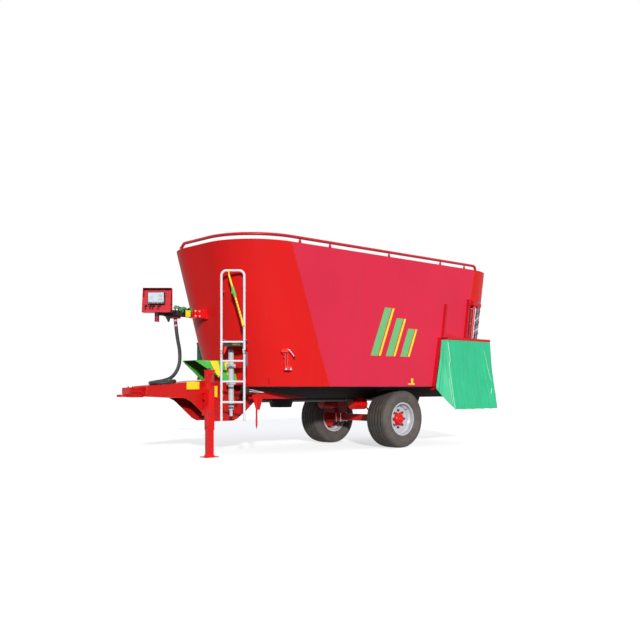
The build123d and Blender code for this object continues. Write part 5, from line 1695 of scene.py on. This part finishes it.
@dataclass
class Ladder(Placed):
    """Folding ladder with its platform, tray and level stick."""

    x: float = -3150.0
    y: float = -740.0
    angle: float = LADDER_TURN
    stile: float = 155.5
    hinge: float = 1450.0
    rungs: tuple = (1330, 1050, 770)
    studs: int = 15
    stud_step: float = 18.6
    stick_out: float = 36.0
    stick_marks: int = 12
    stick_top: tuple = (-50.0, 2500.0)
    stick_foot: tuple = (141.0, 1834.0)

    def at(self, across: float, out: float, z: float) -> Vector:
        """Frame point by distance across the ladder, out from its plane and height."""
        a = math.radians(self.angle)
        return spot(self.x + across * math.cos(a) + out * math.sin(a),
                    self.y + across * math.sin(a) - out * math.cos(a), z)

    def build(self) -> None:
        """Dress the ladder."""
        repaint(RUNG_SILVER, "ladder_handrail", "ladder_lower")
        repaint(DARK_PLASTIC, "ladder_platform")
        repaint(YELLOW, "level_stick")
        self.turn = Matrix.Rotation(math.radians(self.angle), 3, "Z")
        self.stick()
        self.tray()
        self.grips()

    def stick(self) -> None:
        """Mark the level stick with dark rings and its green clip."""
        foot, top = (self.at(a, self.stick_out, z) for a, z in (self.stick_foot, self.stick_top))
        way = (top - foot).normalized()
        length = (top - foot).length
        marks = Form()
        for k in range(1, self.stick_marks):
            marks.lathe([(0.0131, 0.0), (0.0136, 0.0), (0.0136, 0.005), (0.0131, 0.005)],
                        foot.lerp(top, k / 15), way, 20, closed=True)
        marks.piece("stick_marks", SEAL)
        clip = Form().lathe([(0.0132, 0.0), (0.019, 0.002), (0.020, 0.03), (0.020, 0.12), (0.017, 0.14),
                             (0.0132, 0.142)], foot + way * (length - 0.31), way, 24, closed=True)
        clip.block(foot + way * (length - 0.23) + self.turn @ Vector((-0.018, 0, 0)), (0.018, 0.012, 0.07),
                   self.turn, 0.003)
        clip.piece("stick_clip", GREEN)
        end = Form().lathe([(0.0, -0.03), (0.016, -0.03), (0.018, -0.02), (0.018, 0.045), (0.0135, 0.05),
                            (0.0, 0.05)], foot, way, 24)
        end.piece("stick_foot", YELLOW)

    def tray(self) -> None:
        """Hang the dark tray below the platform, with its blank label, red bracket and lever."""
        dark, red = Form(), Form()
        # The dark tray is partly real and partly painted shade: its near-black sheet under the platform
        # stands in for the platform's shaded underside and the shadow behind it.
        dark.block(self.at(4, -40, 1556), (0.270, 0.012, 0.044), self.turn, 0.002)
        dark.block(self.at(4, -120, 1540), (0.270, 0.150, 0.006), self.turn, 0.001)
        dark.tube(self.line((140, -36, 1560), (178, -34, 1575), (204, -40, 1590)), 0.013, 14)
        dark.tube(self.line((136, -36, 1545), (150, -40, 1500), (146, -60, 1455)), 0.010, 12)
        dark.piece("step_tray", SEAL)
        Form().block(self.at(42, -33.4, 1560), (0.100, 0.001, 0.020), self.turn).piece("tray_label", YELLOW)
        red.prism(self.line((-128, -36, 1530), (-84, -36, 1530), (-100, -36, 1470), (-128, -36, 1420)),
                  self.turn @ Vector((0, 0.006, 0)), 0.001)
        red.piece("tray_bracket", RED)
        lever = Form().tube(self.line((186, 2, 1452), (190, 2, 1262)), 0.012, 14)
        lever.tube(self.line((160, 0, 1440), (188, 2, 1446)), 0.008, 12)
        lever.tube(self.line((160, 0, 1275), (190, 2, 1270)), 0.008, 12)
        lever.piece("fold_lever", HYDRAULIC, Body.LADDER)

    def grips(self) -> None:
        """Press anti-slip studs into the rungs, cap the stiles and pin the hinge."""
        spots = [(self.at(-130 + k * self.stud_step, 0, z + 14), UP)
                 for z in self.rungs for k in range(self.studs)]
        LUGS.piece("rung_studs", spots, RUNG_SILVER, Body.LADDER, Length=0.008, Width=0.008, Height=0.003)
        caps = Form()
        for across in (-self.stile, self.stile):
            caps.lathe([(0.0, 0.0), (0.0165, 0.0), (0.0185, 0.003), (0.0185, 0.062), (0.0172, 0.066),
                        (0.0, 0.066)], self.at(across, 0, 514), UP, 24)
        caps.piece("ladder_feet", RUNG_SILVER, Body.LADDER)
        pins = [(self.at(side * (self.stile + 8), 32, self.hinge), self.turn @ Vector((side, 0, 0)))
                for side in (-1, 1)]
        BOLTS.piece("hinge_pins", pins, BOLT, Across=0.018, Height=0.008)


# Control box


@dataclass
class Controls(Placed):
    """Control box on its arm, with display, levers and couplings."""

    x: float = -3818.0
    y: float = 120.0
    z: float = 2006.0
    angle: float = LADDER_TURN
    face: float = -84.8

    def at(self, x: float, y: float, z: float) -> Vector:
        """Frame point of a place in the box's own axes."""
        a = math.radians(self.angle)
        return spot(self.x + x * math.cos(a) - y * math.sin(a), self.y + x * math.sin(a) + y * math.cos(a),
                    self.z + z)

    def build(self) -> None:
        """Dress the controls."""
        repaint(ARM_PAINT, "control_arm")
        repaint(BOX_RED, "control_box")
        repaint(DARK_PLASTIC, "display_unit", "hose_couplers")
        self.turn = Matrix.Rotation(math.radians(self.angle), 3, "Z")
        self.out = self.turn @ LEFTWARD
        self.display()
        self.levers()
        self.couplings()
        self.arm()

    def display(self) -> None:
        """Set the pale screen with its bars into the display's bezel, and its keys below."""
        screen = Form().block(self.at(4, self.face - 1.5, 203), (0.214, 0.003, 0.132), self.turn, 0.004)
        screen.piece("display_screen", SCREEN)
        bars, rim = Form(), Form()
        for x, z, w, h in ((-52, 216, 60, 5), (-52, 200, 60, 5), (-52, 184, 60, 5), (30, 205, 4, 92),
                           (66, 222, 50, 40), (66, 176, 50, 26), (4, 152, 190, 5)):
            bars.block(self.at(x, self.face - 3.3, z), (w / 1000, 0.0006, h / 1000), self.turn)
        bars.piece("screen_bars", SCREEN_BAR)
        for x, z, w, h in ((4, 272.5, 230, 7), (4, 126, 230, 20), (-107.5, 200, 7, 140),
                           (115.5, 200, 7, 140)):
            rim.block(self.at(x, self.face - 3, z), (w / 1000, 0.006, h / 1000), self.turn, 0.002)
        rim.piece("display_bezel", DARK_PLASTIC)
        keys = [(self.at(x, self.face - 6, 126), self.out) for x in range(-90, 100, 24)]
        LUGS.piece("display_keys", keys, PALE_PLASTIC, Length=0.010, Width=0.007, Height=0.003)

    def levers(self) -> None:
        """Stand the valve levers below the display and screw the box's edges."""
        boots, sticks, knobs = Form(), Form(), Form()
        for x, lean in ((-146, 0.0), (-76, -8.0), (-36, -10.0), (43, -12.0)):
            root = self.at(x, -26, 92)
            boots.lathe([(0.0, 0.0), (0.018, 0.0), (0.017, 0.010), (0.011, 0.016), (0.012, 0.024),
                         (0.008, 0.034), (0.0, 0.034)], root, self.out, 20)
            tip = self.at(x + lean, -92, 74)
            sticks.tube([root + self.out * 0.03, tip], 0.0045, 10)
            knobs.lathe([(0.0, 0.0), (0.008, 0.001), (0.012, 0.008), (0.012, 0.018), (0.007, 0.026),
                         (0.0, 0.028)], tip, self.out, 16)
        boots.piece("lever_boots", SEAL)
        sticks.piece("lever_sticks", DARK_STEEL)
        knobs.piece("lever_knobs", SEAL)
        spots = [(self.at(x, -25, z), self.out) for x in (-180, 180) for z in (20, 112, 196)]
        BOLTS.piece("box_screws", spots, CRIMSON, Across=0.013, Height=0.005)

    def couplings(self) -> None:
        """Dress the couplings on the arm with green sleeves, dust caps and a yellow block."""
        green, dark, yellow = Form(), Form(), Form()
        for x, r, long in ((-3450, 0.0465, 30), (-3388, 0.047, 22), (-3304, 0.0445, 34)):
            green.lathe([(r - 0.001, 0.0), (r + 0.004, 0.003), (r + 0.004, long / 1000),
                         (r - 0.001, long / 1000 + 0.003)], spot(x, 120, 2060), REARWARD, 32, closed=True)
        for x, y, z in ((-3560, 72, 2080), (-3510, 72, 2092), (-3470, 66, 2060), (-3420, 70, 2086)):
            green.lathe([(0.0, 0.0), (0.020, 0.0), (0.022, 0.004), (0.022, 0.022), (0.014, 0.026),
                         (0.014, 0.036), (0.0, 0.038)], spot(x, y + 6, z), Vector((-0.2, -0.9, 0.3)), 24)
            dark.tube(trail((x + 4, y + 10, z - 4), (x + 12, y - 8, z - 30), (x + 20, y + 4, z - 56),
                            (x + 22, 100, z - 66)), 0.007, 10)
        dark.block(spot(-3500, 78, 2010), (0.10, 0.05, 0.07), soften=0.004)
        dark.tube(trail((-3560, 74, 1990), (-3470, 72, 1974), (-3400, 74, 1990), (-3330, 80, 2000)), 0.011,
                  12)
        yellow.block(spot(-3350, 66, 2018), (0.078, 0.010, 0.094), soften=0.002)
        green.piece("coupling_caps", GREEN_PLASTIC)
        dark.piece("coupling_hoses", SEAL)
        yellow.piece("coupling_block", YELLOW)
        plate = Form().block(spot(-3548, 72, 2108), (0.034, 0.012, 0.026), soften=0.003)
        plate.piece("coupling_plate", CRIMSON)

    def arm(self) -> None:
        """Add the pointed holder below the arm and the bolts of the arm's bracket."""
        dark = Form()
        dark.prism(trail((-3692, 84, 1962), (-3622, 84, 1962), (-3636, 84, 1900), (-3648, 84, 1884)),
                   Vector((0, 0.03, 0)), 0.002)
        dark.block(spot(-3660, 100, 1966), (0.10, 0.05, 0.012), soften=0.002)
        dark.piece("arm_holder", SEAL)
        spots = [(spot(x, 59, z), LEFTWARD) for z in (1990, 2060) for x in (-3230, -3160)]
        BOLTS.piece("bracket_bolts", spots, PALE_PLASTIC, Across=0.018, Height=0.012)


BOLTS = BoltRepeat()
LUGS = LugRepeat()
BEADS = BeadRepeat()


def main() -> None:
    """Build the studio and every sub-assembly."""
    Studio().build()
    HoseLine().build()
    for side in Side:
        Wheel(side).build()
    for part in (Tub, Curtain, Discharge, Chassis, Augers, Drawbar, Ladder, Controls):
        part().build()
    # The top rails take the darker crimson as painted shade and painted pink reflection, matching their
    # darker, pinker look along the sides.
    repaint(CRIMSON, "top_rail_left", "top_rail_right")


if __name__ == "__main__":
    main()
